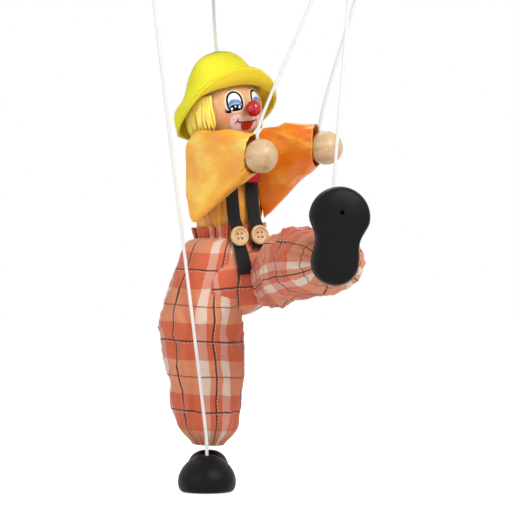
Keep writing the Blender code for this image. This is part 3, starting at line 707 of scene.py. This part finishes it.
def make_button(side, across):
    face = Vector((0, -0.995, 0.1)).normalized()
    place = TORSO @ axes((across, BUTTON_FORWARD, BUTTON_UP), (1, 0, 0), face)
    made = lathe(side + "_button_turned", BUTTON, 72, WOOD_PALE, place)
    for dx in BUTTON_HOLES:
        for dy in BUTTON_HOLES:
            bore(made, place @ Matrix.Translation((dx, dy, 0)), BUTTON_HOLE, -1, CUT_PAST, 20)
    settle(made, "torso", "wood", side + "_button")


# Painted face
def face_mesh(name, points, faces, material):
    """An open patch on the head that looks away from its middle."""
    made = new_mesh(name, points, faces, material, HEAD_FRAME)
    first = made.data.polygons[0]
    if first.normal.dot(first.center - HEAD_FRAME.to_translation() * MM) < 0:
        made.data.flip_normals()
    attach(made, "head")


def face_patch(name, outline, middle, lift, material):
    """A painted shape with this outline, lying on the head's surface."""
    rings = []
    for share in (1.0, 0.86, 0.7, 0.54, 0.38, 0.22, 0.08):
        ring = []
        for across, rise in outline:
            spot = (middle[0] + (across - middle[0]) * share, middle[1] + (rise - middle[1]) * share)
            ring.append(face_point(*spot, lift))
        rings.append(ring)
    points = flat(rings) + [face_point(*middle, lift)]
    face_mesh(name, points, joined(numbered(rings) + [[len(points) - 1]]), material)


def face_stroke(name, path, widths, lift, material):
    """A brush stroke along a path on the head's surface."""
    dense = smooth_profile(path, 8)
    steps = len(dense) - 1
    sides = ([], [], [])
    for n, (across, rise) in enumerate(dense):
        before = dense[max(n - 1, 0)]
        after = dense[min(n + 1, steps)]
        run = Vector((after[0] - before[0], after[1] - before[1])).normalized()
        share = n / steps * (len(widths) - 1)
        low = min(int(share), len(widths) - 2)
        half = (widths[low] + (widths[low + 1] - widths[low]) * (share - low)) / 2
        for row, off in zip(sides, (-half, 0, half)):
            row.append(face_point(across - run.y * off, rise + run.x * off, lift))
    face_mesh(name, flat(sides), joined(numbered(sides), False), material)


def arch(middle, half, up, down, power=3.2):
    """A painted eye's outline: a round top on nearly straight sides."""
    outline = []
    for angle in angles(56):
        c, s = math.cos(angle), math.sin(angle)
        sharp = 2 / (2.2 if s > 0 else power)
        reach = up if s > 0 else down
        across = middle[0] + half * signed_power(c, sharp)
        outline.append((across, middle[1] + reach * signed_power(s, sharp)))
    return outline


# Each layer of an eye: middle, half width, reach up and down, height above the wood
EYE_LAYERS = (("halo", -9.55, 2.4, 7.0, 8.4, 7.4, 0.04, HALO),
              ("outline", -9.55, 2.4, 6.0, 7.4, 6.6, 0.09, EYE_BLACK),
              ("white", -9.65, 2.5, 4.5, 5.8, 5.2, 0.14, EYE_WHITE),
              ("iris", -9.6, -0.6, 4.7, 4.9, 2.9, 0.18, EYE_BLUE),
              ("iris_light", -9.6, -1.2, 4.5, 2.9, 2.3, 0.22, EYE_SKY),
              ("pupil", -9.6, -2.0, 4.5, 2.3, 1.9, 0.26, EYE_BLACK))
GLINTS = ((-12.4, -2.3, 0.75), (-9.7, -1.0, 0.55), (-6.9, -1.6, 0.8))
LASHES = (((-13.2, -3.9), (-15.2, -3.6), (-17.2, -1.8)), ((-13.0, -4.1), (-15.4, -4.3), (-17.3, -3.4)))
SMILE_END = ((-8.1, -9.2), (-9.1, -10.9), (-11.0, -12.8))
SMILE = ((-9.6, -11.4), (-6.5, -12.4), (-3, -12.8), (0, -12.9), (3, -12.8), (6.5, -12.4), (9.6, -11.4))


def make_face():
    for side, label in ((1, "right"), (-1, "left")):
        def spot(across, rise):
            return side * across, rise

        def shape(part, across, rise, half, up, down, lift, material):
            middle = spot(across, rise)
            face_patch(f"{label}_eye_{part}", arch(middle, half, up, down), middle, lift, material)

        for layer in EYE_LAYERS:
            shape(*layer)
        for n, (across, rise, size) in enumerate(GLINTS):
            shape(f"glint_{n + 1}", across, rise, size, size * 1.15, size * 1.15, 0.3, EYE_WHITE)
        for n, path in enumerate(LASHES):
            lash = [spot(*p) for p in path]
            face_stroke(f"{label}_eye_lash_{n + 1}", lash, (1.7, 1.2, 0.35), 0.1, EYE_BLACK)
        lobe = spot(-9.6, -12.4)
        face_patch(label + "_muzzle_lobe", arch(lobe, 5.4, 6.0, 6.1, 2.2), lobe, 0.07, MUZZLE)
        tick = [spot(*p) for p in SMILE_END]
        face_stroke(label + "_smile_end", tick, (0.6, 1.1, 0.7), 0.17, LIP_DARK)
    between = (0, -11.2)
    face_patch("muzzle_band", arch(between, 10.5, 2.9, 3.6, 4), between, 0.05, MUZZLE)
    lip = [(across, min(rise, -12.7)) for across, rise in arch((0, -14.2), 6.3, 2.4, 5.0, 2.2)]
    face_patch("lower_lip", lip, (0, -15.4), 0.13, RED)
    face_stroke("smile", SMILE, (1.0, 1.7, 2.0, 1.7, 1.0), 0.17, LIP_DARK)


make_head()
make_face()
make_hand("right", RIGHT_ARM, RIGHT_REACH)
make_hand("left", LEFT_ARM, LEFT_REACH)
make_shoe("right", RIGHT_FOOT)
make_shoe("left", LEFT_FOOT)
make_button("right", -BUTTON_ACROSS)
make_button("left", BUTTON_ACROSS)


# Cloth: coordinates on it are in millimetres
def weave(paint, across, along, pitch, strength):
    """Fine crossing threads on a cloth."""
    paint.bump(paint.times(paint.wave(across, pitch), paint.wave(along, pitch)), strength, 0.0002)


def cloth_ways(paint, waver):
    """The ways across and along a cloth, a little uneven as hand-cut and sewn cloth is."""
    def vector(operation, first, key, second):
        return paint.node("VectorMath", {0: first, key: second}, operation=operation).outputs[0]

    place = paint.coordinates(kind="UV")
    uneven = paint.node("TexNoise", {"Scale": 0.06, "Vector": place}).outputs["Color"]
    centred = vector("SUBTRACT", uneven, 1, (0.5, 0.5, 0.5))
    return paint.split(vector("ADD", place, 1, vector("SCALE", centred, "Scale", waver)))


WARP_REPEAT = 52.0
WEFT_REPEAT = 48.0
PALE_WEFT_AT = 36
DARK_WEFT_AT = 11.5


def plaid_paint():
    orange = colour(211, 97, 58)
    cream = colour(234, 221, 206)
    paint = Paint("cloth_plaid", orange, 0.85)
    across, along = cloth_ways(paint, 3.2)

    def away(way, repeat, middle):
        """How far a thread is from the nearest line of a set that repeats."""
        shifted = paint.value("ADD", way, repeat / 2 - middle + repeat * 100)
        return paint.value("SUBTRACT", paint.value("FLOORED_MODULO", shifted, repeat), repeat / 2)

    def within(distance, limit, soft=0.25):
        given = {"From Min": limit - soft, "From Max": limit + soft, "To Min": 1.0, "To Max": 0.0}
        given["Value"] = paint.value("ABSOLUTE", distance)
        return paint.node("MapRange", given, interpolation_type="SMOOTHSTEP").outputs["Result"]

    def laid(under, cover, strength, thread):
        return paint.mix(paint.times(cover, strength), under, thread)

    narrow = away(across, WARP_REPEAT, WARP_REPEAT / 2)
    warp_cream = paint.value("SUBTRACT", within(narrow, 10.5), within(narrow, 4.5))
    pale_weft = away(along, WEFT_REPEAT, PALE_WEFT_AT)
    weft_cream = within(pale_weft, 11.5)
    mottled = paint.value("ADD", paint.times(paint.cloth_noise(2.2, 0.35, 3, 0.7), 0.6), 0.02)
    shade = laid(orange, warp_cream, mottled, cream)
    shade = laid(shade, weft_cream, 0.36, colour(238, 186, 140))
    shade = laid(shade, paint.times(warp_cream, weft_cream), 0.72, cream)
    shade = laid(shade, within(pale_weft, 0.45, 0.2), 0.8, colour(122, 52, 40))
    dark_weft = away(along, WEFT_REPEAT, DARK_WEFT_AT)
    shade = laid(shade, within(dark_weft, 0.6, 0.2), 0.95, colour(58, 34, 32))
    dark_warp = away(across, WARP_REPEAT / 2, 0)
    shade = laid(shade, within(dark_warp, 0.62, 0.2), 0.97, colour(30, 26, 28))
    for line, off, way, above in ((dark_warp, 0.95, along, -0.2), (dark_weft, 1.0, across, 0)):
        dashes = paint.value("GREATER_THAN", paint.wave(way, 2.4), above)
        beside = within(paint.value("SUBTRACT", line, off), 0.3, 0.15)
        shade = laid(shade, paint.times(beside, dashes), 0.4, cream)
    fleck = paint.ramp(paint.cloth_noise(1.6, 1.6, 2), [(0.35, grey(0.16)), (0.65, CLEAR)])
    paint.base(paint.mix(fleck, shade, colour(176, 84, 60)))
    weave(paint, across, along, 0.55, 0.5)
    paint.bump(paint.cloth_noise(0.16, 0.16, 3), 0.25, 0.0012)
    paint.put({"Sheen Weight": 0.2})
    return paint.material


def satin_paint(name, base, deep, light, stitched=True):
    """Thin shiny cloth: fine threads, painted highlight and painted shade in soft blotches, a soft sheen and,
    where asked for, two lines of stitching.
    """
    paint = Paint(name, base, 0.34)
    across, along = cloth_ways(paint, 0.8)
    mottled = paint.cloth_noise(0.055, 0.03, 4, 0.55)
    # Painted highlight and painted shade: blotches of the light and deep colours stand in for the shine and
    # shade on the satin's folds.
    shade = paint.ramp(mottled, [(0.3, deep), (0.5, base), (0.68, light)])
    # Streaks of the deep colour along the cloth are painted shade too.
    streak = paint.ramp(paint.cloth_noise(3.2, 0.12, 2), [(0.4, grey(0.22)), (0.6, CLEAR)])
    shade = paint.mix(streak, shade, deep)
    for way, strength in ((2.0, 0.55), (4.2, 0.4)) if stitched else ():
        off = paint.value("ABSOLUTE", paint.value("SUBTRACT", paint.value("ABSOLUTE", across), way))
        near = paint.value("LESS_THAN", off, 0.3)
        shade = paint.mix(paint.times(near, strength), shade, darker(deep, 0.5))
        paint.bump(paint.times(near, -1.0), 0.4, 0.0004)
    paint.base(shade)
    weave(paint, across, along, 0.4, 0.16)
    paint.bump(paint.cloth_noise(0.2, 0.07, 3), 0.28, 0.0014)
    paint.put({"Sheen Weight": 0.12, "Sheen Roughness": 0.3, "Specular IOR Level": 0.6})
    return paint.material


PLAID = plaid_paint()
# The two sleeve satins below are one satin: the first is a copy with painted light, the second a darker copy
# with painted shade.
SATIN_LIT = satin_paint("satin_lit", colour(248, 174, 34), colour(238, 148, 26), colour(253, 220, 88))
SATIN_SHADED = satin_paint("satin_shaded", colour(250, 142, 28), colour(242, 116, 20), colour(255, 192, 66))
SATIN = satin_paint("satin_shirt", colour(232, 156, 40), colour(206, 122, 28), colour(246, 190, 72), False)


def crease(angle):
    """A fold with a narrow valley, from minus one to one."""
    return 1 - 2 * abs(math.sin(angle)) ** 0.55


def oval(centre, half_across, half_up, angle, power):
    side = half_across * signed_power(math.cos(angle), 2 / power)
    rise = half_up * signed_power(math.sin(angle), 2 / power)
    return Vector((centre[0] + side, centre[1] + rise, centre[2]))


def drift_at(angle, spread, along, shift=0):
    """Slow unevenness round and along a cloth."""
    return noise.noise(Vector((math.cos(angle) * spread, math.sin(angle) * spread + shift, along)))


def turned_hem(rings, thick, depth):
    """The cloth's edge folded to the inside: two more rings behind the last one."""
    last = rings[-1]
    middle = sum(last, Vector()) / len(last)
    inside = []
    back = []
    for point, earlier in zip(last, rings[-4]):
        inward = (middle - point).normalized() * thick
        inside.append(point + inward)
        back.append(point + inward * 1.15 + (earlier - point).normalized() * depth)
    return rings + [inside, back]


def hang(made, node, slot, flat, style, inside, *blended):
    """Hides the sheet's solid; the sheet rides on the torso, or where blends are given its placing is baked
    into its points.
    """
    declare(made, slot, node)
    if blended:
        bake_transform(made)
    else:
        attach(made, "torso")


HEM_FROM = 96


def make_leg(side, placing, rows, width, length, offset, lean):
    """A trouser leg gathered at its hem, of a cloth this wide; offset moves the plaid on it. Its length is
    not used.
    """
    columns = 144
    dense = smooth_profile(rows, 9)

    def spot(row, angle):
        way, shift, back, half_width, half_height = row
        middle = ease(-14, 26, way) * (1 - ease(HEM_FROM, 112, way))
        drift = drift_at(angle, 1.3, way / 26 + lean * 7)
        hem = 0.7 * math.cos(19 * angle + 2.2 * drift) + 0.4 * math.cos(8 * angle + 1.0)
        fold = ease(HEM_FROM, 116, way) * hem
        fold += middle * (crease(1.5 * angle + way / 21 * lean + 1.6 * drift) + 2.4 * drift)
        rumple = drift_at(angle, 2.2, way / 19 - lean * 5)
        fold += 1.2 * middle * (1 - 2 * min(1, 2.4 * abs(rumple)) ** 0.6)
        return oval((shift, back, -way), half_width + fold, half_height + fold, angle, 2.0)

    rings = turned_hem(ringed(dense, columns, spot), 0.7, 4)
    ways = [row[0] for row in dense] + [dense[-1][0] + 0.8, dense[-1][0] + 4]
    made = grid(side + "_trouser_cloth", rings, PLAID, placing,
                lambda row, column: (column / columns * width + offset[0], ways[row] + offset[1]))
    start = placing @ Vector((0, 0, 4))
    end = placing @ Vector((0, 0, -52))
    hang(made, side + "_trouser_leg", "plaid", (width * MM, length * MM), "gathered", side + "_leg_rod",
         "torso", side + "_leg", start * MM, end * MM)


SEAT_ROWS = ((27, 23.2, 20.3), (23.5, 22.8, 20), (19.5, 22.2, 19.4), (16.5, 25, 20.3), (9, 30.5, 22.6),
             (0, 33, 24.2), (-10, 33, 24.4), (-20, 30, 22), (-28, 22, 17), (-34, 10, 8.5), (-35, 1.5, 1.5))


def make_seat():
    """The upper trousers: a ruffle above a gathered waist, full hips, closed between the legs."""
    columns = 240
    width = 4 * WARP_REPEAT
    dense = smooth_profile(SEAT_ROWS, 8)

    def spot(row, angle):
        height, half_width, half_depth = row
        drift = drift_at(angle, 1.6, height / 22 + 3)
        fold = ease(3, 22, height) * (0.9 * math.cos(43 * angle + 4 * drift) + 0.5 * math.cos(19 * angle + 1))
        low = (1 - ease(-4, 12, height)) * (0.8 * crease(2 * angle + height / 17 + drift) + 1.1 * drift)
        fold += low * ease(-34, -22, height)
        wavy = ease(22, 27, height) * 0.6 * math.sin(17 * angle + 4 * drift)
        return oval((0, 0, height + wavy), half_width + fold, half_depth + fold, angle, 3.0)

    made = grid("trouser_top", ringed(dense, columns, spot), PLAID, TORSO,
                lambda row, column: (column / columns * width + 6, 28 - dense[row][0] + 16))
    hang(made, "trouser_seat", "plaid", (width * MM, 0.082), "gathered", "torso_block")


SHIRT_ROWS = ((9, 20.4, 15.4), (26, 20.9, 15.9), (42, 23.6, 17.2), (57, 25.6, 17.5), (67, 26, 17),
              (73.5, 25, 15), (77, 22, 12.5))
COLLAR_ROWS = ((0.3, 78.4, 15.5, 10.8, 2.4), (0.7, 78.7, 11.5, 9.4, 2.1), (1.0, 78.9, 8.2, 8.2, 2.0),
               (1.0, 79.6, 7.9, 7.9, 2.0))
COLLAR_AT = Vector((5.05, -3.15, 0))
SHIRT_WIDE = 150


def make_shirt():
    """The shirt's body, pleated from the neck down."""
    columns = 180
    dense = smooth_profile(SHIRT_ROWS, 7)

    def body(row, angle):
        height, half_width, half_depth = row
        drift = drift_at(angle, 2, height / 40)
        fold = 0.55 * math.cos(20 * angle + 3 * drift) + 0.3 * math.cos(33 * angle - 2 * drift) - 0.25
        return oval((0, 0, height), half_width + fold, half_depth + fold, angle, 3.0)

    def collar(row, angle):
        share, height, half_width, half_depth, power = row
        fold = 0.2 * math.cos(20 * angle)
        middle = (COLLAR_AT.x * share, COLLAR_AT.y * share, height)
        return oval(middle, half_width + fold, half_depth + fold, angle, power)

    rings = ringed(dense, columns, body) + ringed(COLLAR_ROWS, columns, collar)
    ways = [80 - row[0] for row in dense] + [0.5, -4, -8, -9]
    made = grid("shirt_cloth", rings, SATIN, TORSO,
                lambda row, column: (column / columns * SHIRT_WIDE, ways[row]))
    hang(made, "shirt", "satin", (0.15, 0.09), "gathered", "torso_block")


CUFF_BACK = 6.5
SLEEVE_WIDE = 120.0
SLEEVE_LONG = 60


def make_sleeve(side, label, placing, reach, material, slot):
    """A wide sleeve from the arm hole to the wrist; its cloth hangs in a deep corner below the arm."""
    columns = 140
    steps = 46
    arm_hole = TORSO @ Vector((side * 19, -16, SHOULDER_Z - 8))
    cuff_middle = placing @ Vector((reach - CUFF_BACK, 0, 0))

    def spot(share, angle):
        inward = math.cos(angle)
        upward = math.sin(angle)
        below = max(-upward, 0)
        turned = math.radians(210.5 + 38.5 * inward)
        rise = 20 * upward ** 0.77 if upward > 0 else 42 * upward
        depth = 19.4 * signed_power(math.sin(turned), 2 / 3)
        root = Vector((side * 28 * abs(math.cos(turned)) ** (2 / 3), depth, SHOULDER_Z + rise))
        root += Vector((-6.5, 4, 0)) * below ** 1.5 * (1 if side < 0 else 0.45)
        across = -side * inward * 11.9
        cuff = Vector((reach - CUFF_BACK - 0.3 * across - 3 * below, across,
                       upward * (16 + side if upward > 0 else 12)))
        point = (TORSO @ root).lerp(placing @ cuff, share)
        swell = math.sin(math.pi * share)
        drift = drift_at(angle, 1.4, share * 3 + side, 5)
        fold = swell * (0.8 * crease(2.5 * angle + 4.2 * share + 2 * drift) + 2.2 * drift)
        fold += 1.3 * swell * max(upward, 0)
        fold += ease(0.72, 1.0, share) * 0.3 * math.cos(15 * angle + 2 * drift)
        return point + (point - arm_hole.lerp(cuff_middle, share)).normalized() * fold

    shares = [k / steps for k in range(steps + 1)]
    ways = [SLEEVE_LONG * k / steps for k in range(steps + 1)] + [SLEEVE_LONG + 0.8, SLEEVE_LONG + 5]

    def place(row, column):
        """Nought at the sleeve's lower edge, so that the hem lines run beside it."""
        return (column / columns - 0.75) * SLEEVE_WIDE, ways[row]

    rings = turned_hem(ringed(shares, columns, spot), 0.8, 5)
    made = grid(label + "_sleeve_cloth", rings, material, None, place)
    shoulder = placing @ Vector((-9, 0, 0))
    wrist = placing @ Vector((reach - 22, 0, 0))
    hang(made, label + "_sleeve", slot, (0.12, 0.062), "hung", label + "_arm_rod",
         "torso", label + "_arm", shoulder * MM, wrist * MM)


# Rows of a leg: way down, shift sideways and back, half width and half height
RIGHT_LEG_ROWS = ((-19, 5, 0, 15.5, 17), (-16.5, 1, 0, 20.5, 20.3), (-10, -1, 0, 22.8, 22.4),
                  (0, -2.5, 0, 24, 24.8), (12, -5.5, 0, 25.5, 24.8), (24, -7.5, 0, 27.5, 24.3),
                  (40, -8.5, 0, 28.5, 23.5),
                  (58, -6.5, 0, 28, 23), (75, -4, 0, 27, 22.5), (95, -2, 0, 24, 21), (107, -1, 0, 21.5, 19.5),
                  (114, -0.5, 0, 17.5, 16.5), (119.4, 0, 0, 12.2, 12), (122.4, 0, 0, 9.8, 9.6))
LEFT_LEG_ROWS = ((10, 5.5, 8, 15, 17), (26, 7.5, 10, 18.5, 20), (45, 5, 5.5, 20.5, 23.5),
                 (62, 2.5, 2, 22.5, 24.5), (80, 2, 0.5, 24.5, 23.5), (96, 7, 0, 28, 22),
                 (105, 8.5, 0, 27.5, 20), (112.5, 6, 0, 21, 16),
                 (117.5, 1.5, 0, 13, 12), (120.5, 0, 0, 9.6, 9.4))
make_shirt()
make_seat()
make_leg("right", RIGHT_LEG, RIGHT_LEG_ROWS, 3 * WARP_REPEAT, 150, (5.0, 8.6), 1)
make_leg("left", LEFT_LEG, LEFT_LEG_ROWS, 3 * WARP_REPEAT, 126, (10.0, 20.0), -1)
# The right sleeve gets the satin with painted light, and the left sleeve, turned away from the light, the
# satin with painted shade.
make_sleeve(-1, "right", RIGHT_ARM, RIGHT_REACH, SATIN_LIT, "satin_light")
make_sleeve(1, "left", LEFT_ARM, LEFT_REACH, SATIN_SHADED, "satin")


# Straps and ribbon
def webbing_paint(name, base, light, pitch):
    paint = Paint(name, base, 0.7)
    across, along = cloth_ways(paint, 0.4)
    threads = paint.times(paint.wave(along, pitch), paint.wave(across, pitch * 1.3))
    paint.base(paint.ramp(threads, [(0.1, base), (0.95, light)]))
    paint.bump(threads, 0.6, 0.0003)
    paint.bump(paint.noise(500, 3), 0.15, 0.0005)
    paint.put({"Sheen Weight": 0.05, "Specular IOR Level": 0.3})
    return paint.material


def band(name, path, width, thick, material, edge=1.0):
    """A flat strip along a path of places on the torso, its width across the body."""
    dense = [Vector(p) for p in smooth_profile(path, 6)]
    way = lengths(dense)
    steps = 14
    shares = [-1 + 2 * n / steps for n in range(steps + 1)]
    section = [(share, 0.5) for share in shares] + [(-share, -0.5) for share in shares]
    rings = []
    for point, run in zip(dense, headings(dense)):
        across = (X_AXIS - run * run.x).normalized()
        out = across.cross(run)
        if out.dot(Vector((point.x, point.y, max(point.z - 60, 0)))) < 0:
            out = -out
        ring = []
        for share, side in section:
            thin = 1 - 0.35 * abs(share) ** 8
            bow = edge * 0.25 * (1 - share * share)
            ring.append(point + across * share * width / 2 + out * (side * thick * thin + bow))
        rings.append(ring)

    def place(row, column):
        return section[column % len(section)][0] * width / 2, way[row]

    made = grid(name, rings, material, TORSO, place)
    rows = numbered(rings)
    face_the_right_way(made, caps=(rows[0], rows[-1]))
    return made


STRAP_BLACK = webbing_paint("strap_weave", colour(12, 12, 14), colour(34, 34, 37), 0.8)
RIBBON_RED = webbing_paint("ribbon_weave", colour(170, 8, 20), colour(206, 26, 36), 0.6)
STRAP_PATH = ((7.3, -24.9, 10.0), (7.4, -24.7, 10.8), (7.6, -24.3, 12.5), (7.8, -23.5, 16), (8, -23.1, 21),
              (8, -22.8, 26.5), (8, -20.3, 32), (8, -19.8, 45), (8, -19.8, 60), (8, -19.0, 68.5),
              (8.7, -16.9, 75.5), (11.9, -11.7, 79.9), (12.6, -6, 80.9), (12.7, 0, 81.0), (12.6, 6, 80.9),
              (11.9, 11.7, 79.9), (8.7, 16.9, 75.5), (8, 19.0, 68.5), (8, 19.8, 50), (8, 20.3, 32),
              (8, 22.8, 26.5), (8, 23.3, 18), (8, 24.2, 12))
STRAP = 9.5
STRAP_THICK = 1.2
RIBBON = 12
RIBBON_THICK = 0.9
STRAP_TAIL = ((6.6, -27.6, -7), (6.7, -27.9, -3), (7, -27.7, 1.5), (7.1, -26.6, 5.5))
RIBBON_PATH = ((5, -9.6, 82.0), (5, -14.5, 82.2), (5.1, -20, 80.7), (5.2, -25, 76.2), (5, -27.6, 69),
               (4.6, -28.3, 62), (4.2, -28, 55))


def make_bands():
    right_path = [(-x, y, z) for x, y, z in STRAP_TAIL + STRAP_PATH[1:]]
    for name, path in (("right_strap", right_path), ("left_strap", STRAP_PATH)):
        settle(band(name + "_web", path, STRAP, STRAP_THICK, STRAP_BLACK), "torso", "strap", name)
    ribbon = band("ribbon_tail", RIBBON_PATH, RIBBON, RIBBON_THICK, RIBBON_RED, 1.6)
    settle(ribbon, "torso", "ribbon", "neck_ribbon")


# Felt hat and hair
def felt_paint(name, base, deep, light):
    paint = Paint(name, base, 0.95)
    broad = paint.ramp(paint.noise(90, 3), [(0.35, grey(0.25)), (0.6, CLEAR)])
    fine = paint.noise(700, 5, None, 0.75)
    paint.base(paint.mix(broad, paint.ramp(fine, [(0.3, deep), (0.55, base), (0.8, light)]), deep))
    paint.bump(fine, 0.55, 0.0008)
    paint.bump(paint.noise(2600, 3), 0.4, 0.0003)
    paint.put({"Sheen Weight": 0.7, "Sheen Roughness": 0.5, "Sheen Tint": colour(255, 246, 84)})
    return paint.material


def hair_paint():
    paint = Paint("hair_pale", colour(250, 222, 96), 0.75)
    fibre = paint.noise(1.0, 4, paint.coordinates((900, 900, 60)))
    stops = [(0.3, colour(240, 202, 70)), (0.5, colour(252, 228, 96)), (0.75, colour(255, 242, 140))]
    paint.base(paint.ramp(fibre, stops))
    paint.bump(fibre, 0.4, 0.0004)
    paint.put({"Sheen Weight": 0.3})
    return paint.material


FELT = felt_paint("felt_yellow", colour(255, 252, 52), colour(252, 232, 38), colour(255, 255, 104))
# A copy of the yellow felt, darker and more orange: painted shade for the underside of the hat.
FELT_SHADED = felt_paint("felt_shaded", colour(252, 228, 50), colour(245, 204, 40), colour(254, 240, 76))
HAIR = hair_paint()
HAT_SIDE = ((1.9, 38.2), (8.5, 37.2), (14, 34.2), (18.7, 29), (22.2, 22.5), (25.0, 15), (28.6, 8.5),
            (33.4, 3), (35.8, -5.5), (34.8, -19))
HAT_FRONT = ((1.9, 38.2), (8.5, 36.2), (13.5, 32), (17.5, 26.6), (20.5, 20.6), (22.8, 15.6), (25, 14),
             (28.6, 15.4), (32, 18.4), (35, 22.8))
HAT_FRONT_AT = math.radians(-102)
HAT_HALF = 1.0
FIBRE_COUNT = 9000
FIBRE_THICK = 0.09
FIBRE_FACES = ((0, 1, 3), (1, 2, 3), (2, 0, 3), (0, 3, 4), (1, 4, 3), (2, 3, 4))


def hat_sheet(columns):
    """Rings of the hat's middle surface, from the crown's hole to the brim's edge."""
    profiles = list(zip(smooth_profile(HAT_SIDE, 7), smooth_profile(HAT_FRONT, 7)))

    def spot(n, angle):
        low, high = profiles[n]
        share = n / (len(profiles) - 1)
        toward = (1 + math.cos(angle - HAT_FRONT_AT)) / 2
        lift = 0.75 * toward ** (3.4 - 1.4 * ease(0.7, 1.0, share)) + 0.25 * toward ** 0.5
        sag = 1.6 * math.cos(3 * angle + 0.6) * share ** 3 * (1 - lift)
        radius = low[0] + (high[0] - low[0]) * lift
        height = low[1] + (high[1] - low[1]) * lift + sag
        point = Vector((radius * math.cos(angle), radius * math.sin(angle), height))
        soft = noise.noise(point / 13) * 0.8 * min(share * 3, 1) + noise.noise(point / 3.2) * 0.16
        return point + point.normalized() * soft

    return ringed(range(len(profiles)), columns, spot)


def ring_normals(rings):
    last = len(rings) - 1
    normals = []
    for n, ring in enumerate(rings):
        before = rings[max(n - 1, 0)]
        after = rings[min(n + 1, last)]
        around = [ring[(k + 1) % len(ring)] - ring[k - 1] for k in range(len(ring))]
        normals.append([a.cross(b - c).normalized() for a, b, c in zip(around, before, after)])
    middle = len(rings) // 2
    if normals[middle][0].dot(rings[middle][0]) < 0:
        normals = [[-normal for normal in row] for row in normals]
    return normals


def make_hat():
    columns = 160
    rings = hat_sheet(columns)
    normals = ring_normals(rings)

    def skin(off):
        return [[p + m * off for p, m in zip(ring, row)] for ring, row in zip(rings, normals)]

    outer = skin(HAT_HALF)
    rim = []
    for turned in (45, 90, 135):
        angle = math.radians(turned)
        ring = []
        for p, earlier, m in zip(rings[-1], rings[-3], normals[-1]):
            out = (p - earlier).normalized()
            ring.append(p + m * HAT_HALF * math.cos(angle) + out * HAT_HALF * math.sin(angle))
        rim.append(ring)
    made = grid("hat_felt", outer + rim + skin(-HAT_HALF)[::-1], FELT, HEAD_FRAME)
    # The inside of the crown and the underside of the brim get the felt with painted shade.
    made.data.materials.append(FELT_SHADED)
    for face in made.data.polygons:
        if face.index >= (len(outer) + 2) * columns:
            face.material_index = 1
    settle(made, "head", "felt", "hat")
    make_fuzz([(outer, normals)] * 3 + [(rim, [normals[-1]] * 3)], columns)


def make_fuzz(surface, columns):
    """Short fibres that stand up from the felt."""
    rng = random.Random(7)
    points = []
    faces = []
    for _ in range(FIBRE_COUNT):
        rows, dirs = surface[rng.randrange(len(surface))]
        n = rng.randrange(len(rows))
        k = rng.randrange(columns)
        at = rows[n][k].lerp(rows[n][(k + 1) % columns], rng.random())
        jitter = Vector((rng.uniform(-1, 1), rng.uniform(-1, 1), rng.uniform(-1, 1)))
        lean = (dirs[n][k] + jitter * 0.75).normalized()
        side = lean.orthogonal().normalized() * FIBRE_THICK
        other = lean.cross(side).normalized() * FIBRE_THICK
        length = rng.uniform(0.5, 1.25)
        bend = jitter * 0.25
        faces += [tuple(len(points) + corner for corner in face) for face in FIBRE_FACES]
        points += [at + side, at - side * 0.5 + other, at - side * 0.5 - other]
        points += [at + lean * length * 0.6 + bend * 0.4 + side * 0.5, at + lean * length + bend]
    settle(new_mesh("hat_fuzz", points, faces, FELT, HEAD_FRAME), "head", "felt")


# Each layer of hair: radius, strands, upper and lower end
HAIR_LAYERS = ((25.8, 96, 9, -15.0), (27.0, 90, 8.5, -16.0), (28.0, 84, 7.5, -14.5))
HAIR_ROOT = 25.6
HAIR_TAPER = [1.0] * 7 + [0.95, 0.85, 0.6, 0.2]


def make_hair():
    """Combed strands round the sides and back of the head, with uneven ends."""
    rng = random.Random(11)
    points = []
    faces = []
    for radius, count, high, low in HAIR_LAYERS:
        for n in range(count):
            angle = math.radians(-8 + 219 * (n + rng.uniform(-0.35, 0.35)) / (count - 1))
            thick = rng.uniform(0.75, 1.05)
            drop = low + rng.uniform(-0.8, 1.8)
            sway = rng.uniform(-0.02, 0.02)
            path = []
            for k in range(len(HAIR_TAPER)):
                share = k / (len(HAIR_TAPER) - 1)
                height = high + (drop - high) * share
                hug = math.sqrt(max(HEAD ** 2 - min(abs(height), HEAD) ** 2, 0)) - HEAD
                tucked = (radius - HAIR_ROOT) * (1 - ease(-2, 6, height)) + HAIR_ROOT
                out = tucked + hug * 0.25 * share + 0.25 * math.sin(7 * share + n) * share
                turned = angle + sway * share * 3 + 0.008 * math.sin(9 * share + 2 * n)
                path.append(Vector((out * math.cos(turned), out * math.sin(turned), height)))
            rings = tube_rings(path, thick, 6, HAIR_TAPER)
            rows = numbered(rings, len(points))
            points += flat(rings)
            faces += joined(rows) + [tuple(rows[0][::-1]), tuple(rows[-1])]
    made = new_mesh("hair_strands", points, faces, HAIR, HEAD_FRAME)
    face_the_right_way(made)
    settle(made, "head", "hair", "hair")


# The control, the screw eyes and the wood inside keep their solids and get finer materials
def finish_solids():
    stick = wood_paint("wood_stick", colour(214, 172, 122), colour(176, 126, 78), 240, 0.55).material
    steel = Paint("steel_wire", colour(196, 196, 198), 0.28)
    steel.put({"Metallic": 1.0})
    brushed = steel.noise(1500, 4)
    steel.base(steel.ramp(brushed, [(0.3, colour(170, 170, 172)), (0.7, colour(208, 208, 210))]))
    steel.bump(brushed, 0.12, 0.0002)
    inner = wood_paint("wood_inner", colour(216, 172, 122), colour(180, 130, 84), 200, 0.6).material
    for name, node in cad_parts.items():
        if node.hide_render:
            continue
        if name.startswith("control_") and "screw" not in name:
            chosen = stick
        elif "eye" in name or "screw" in name:
            chosen = steel.material
        else:
            chosen = inner
        for place in node.material_slots:
            place.material = chosen


make_bands()
make_hat()
make_hair()
finish_solids()
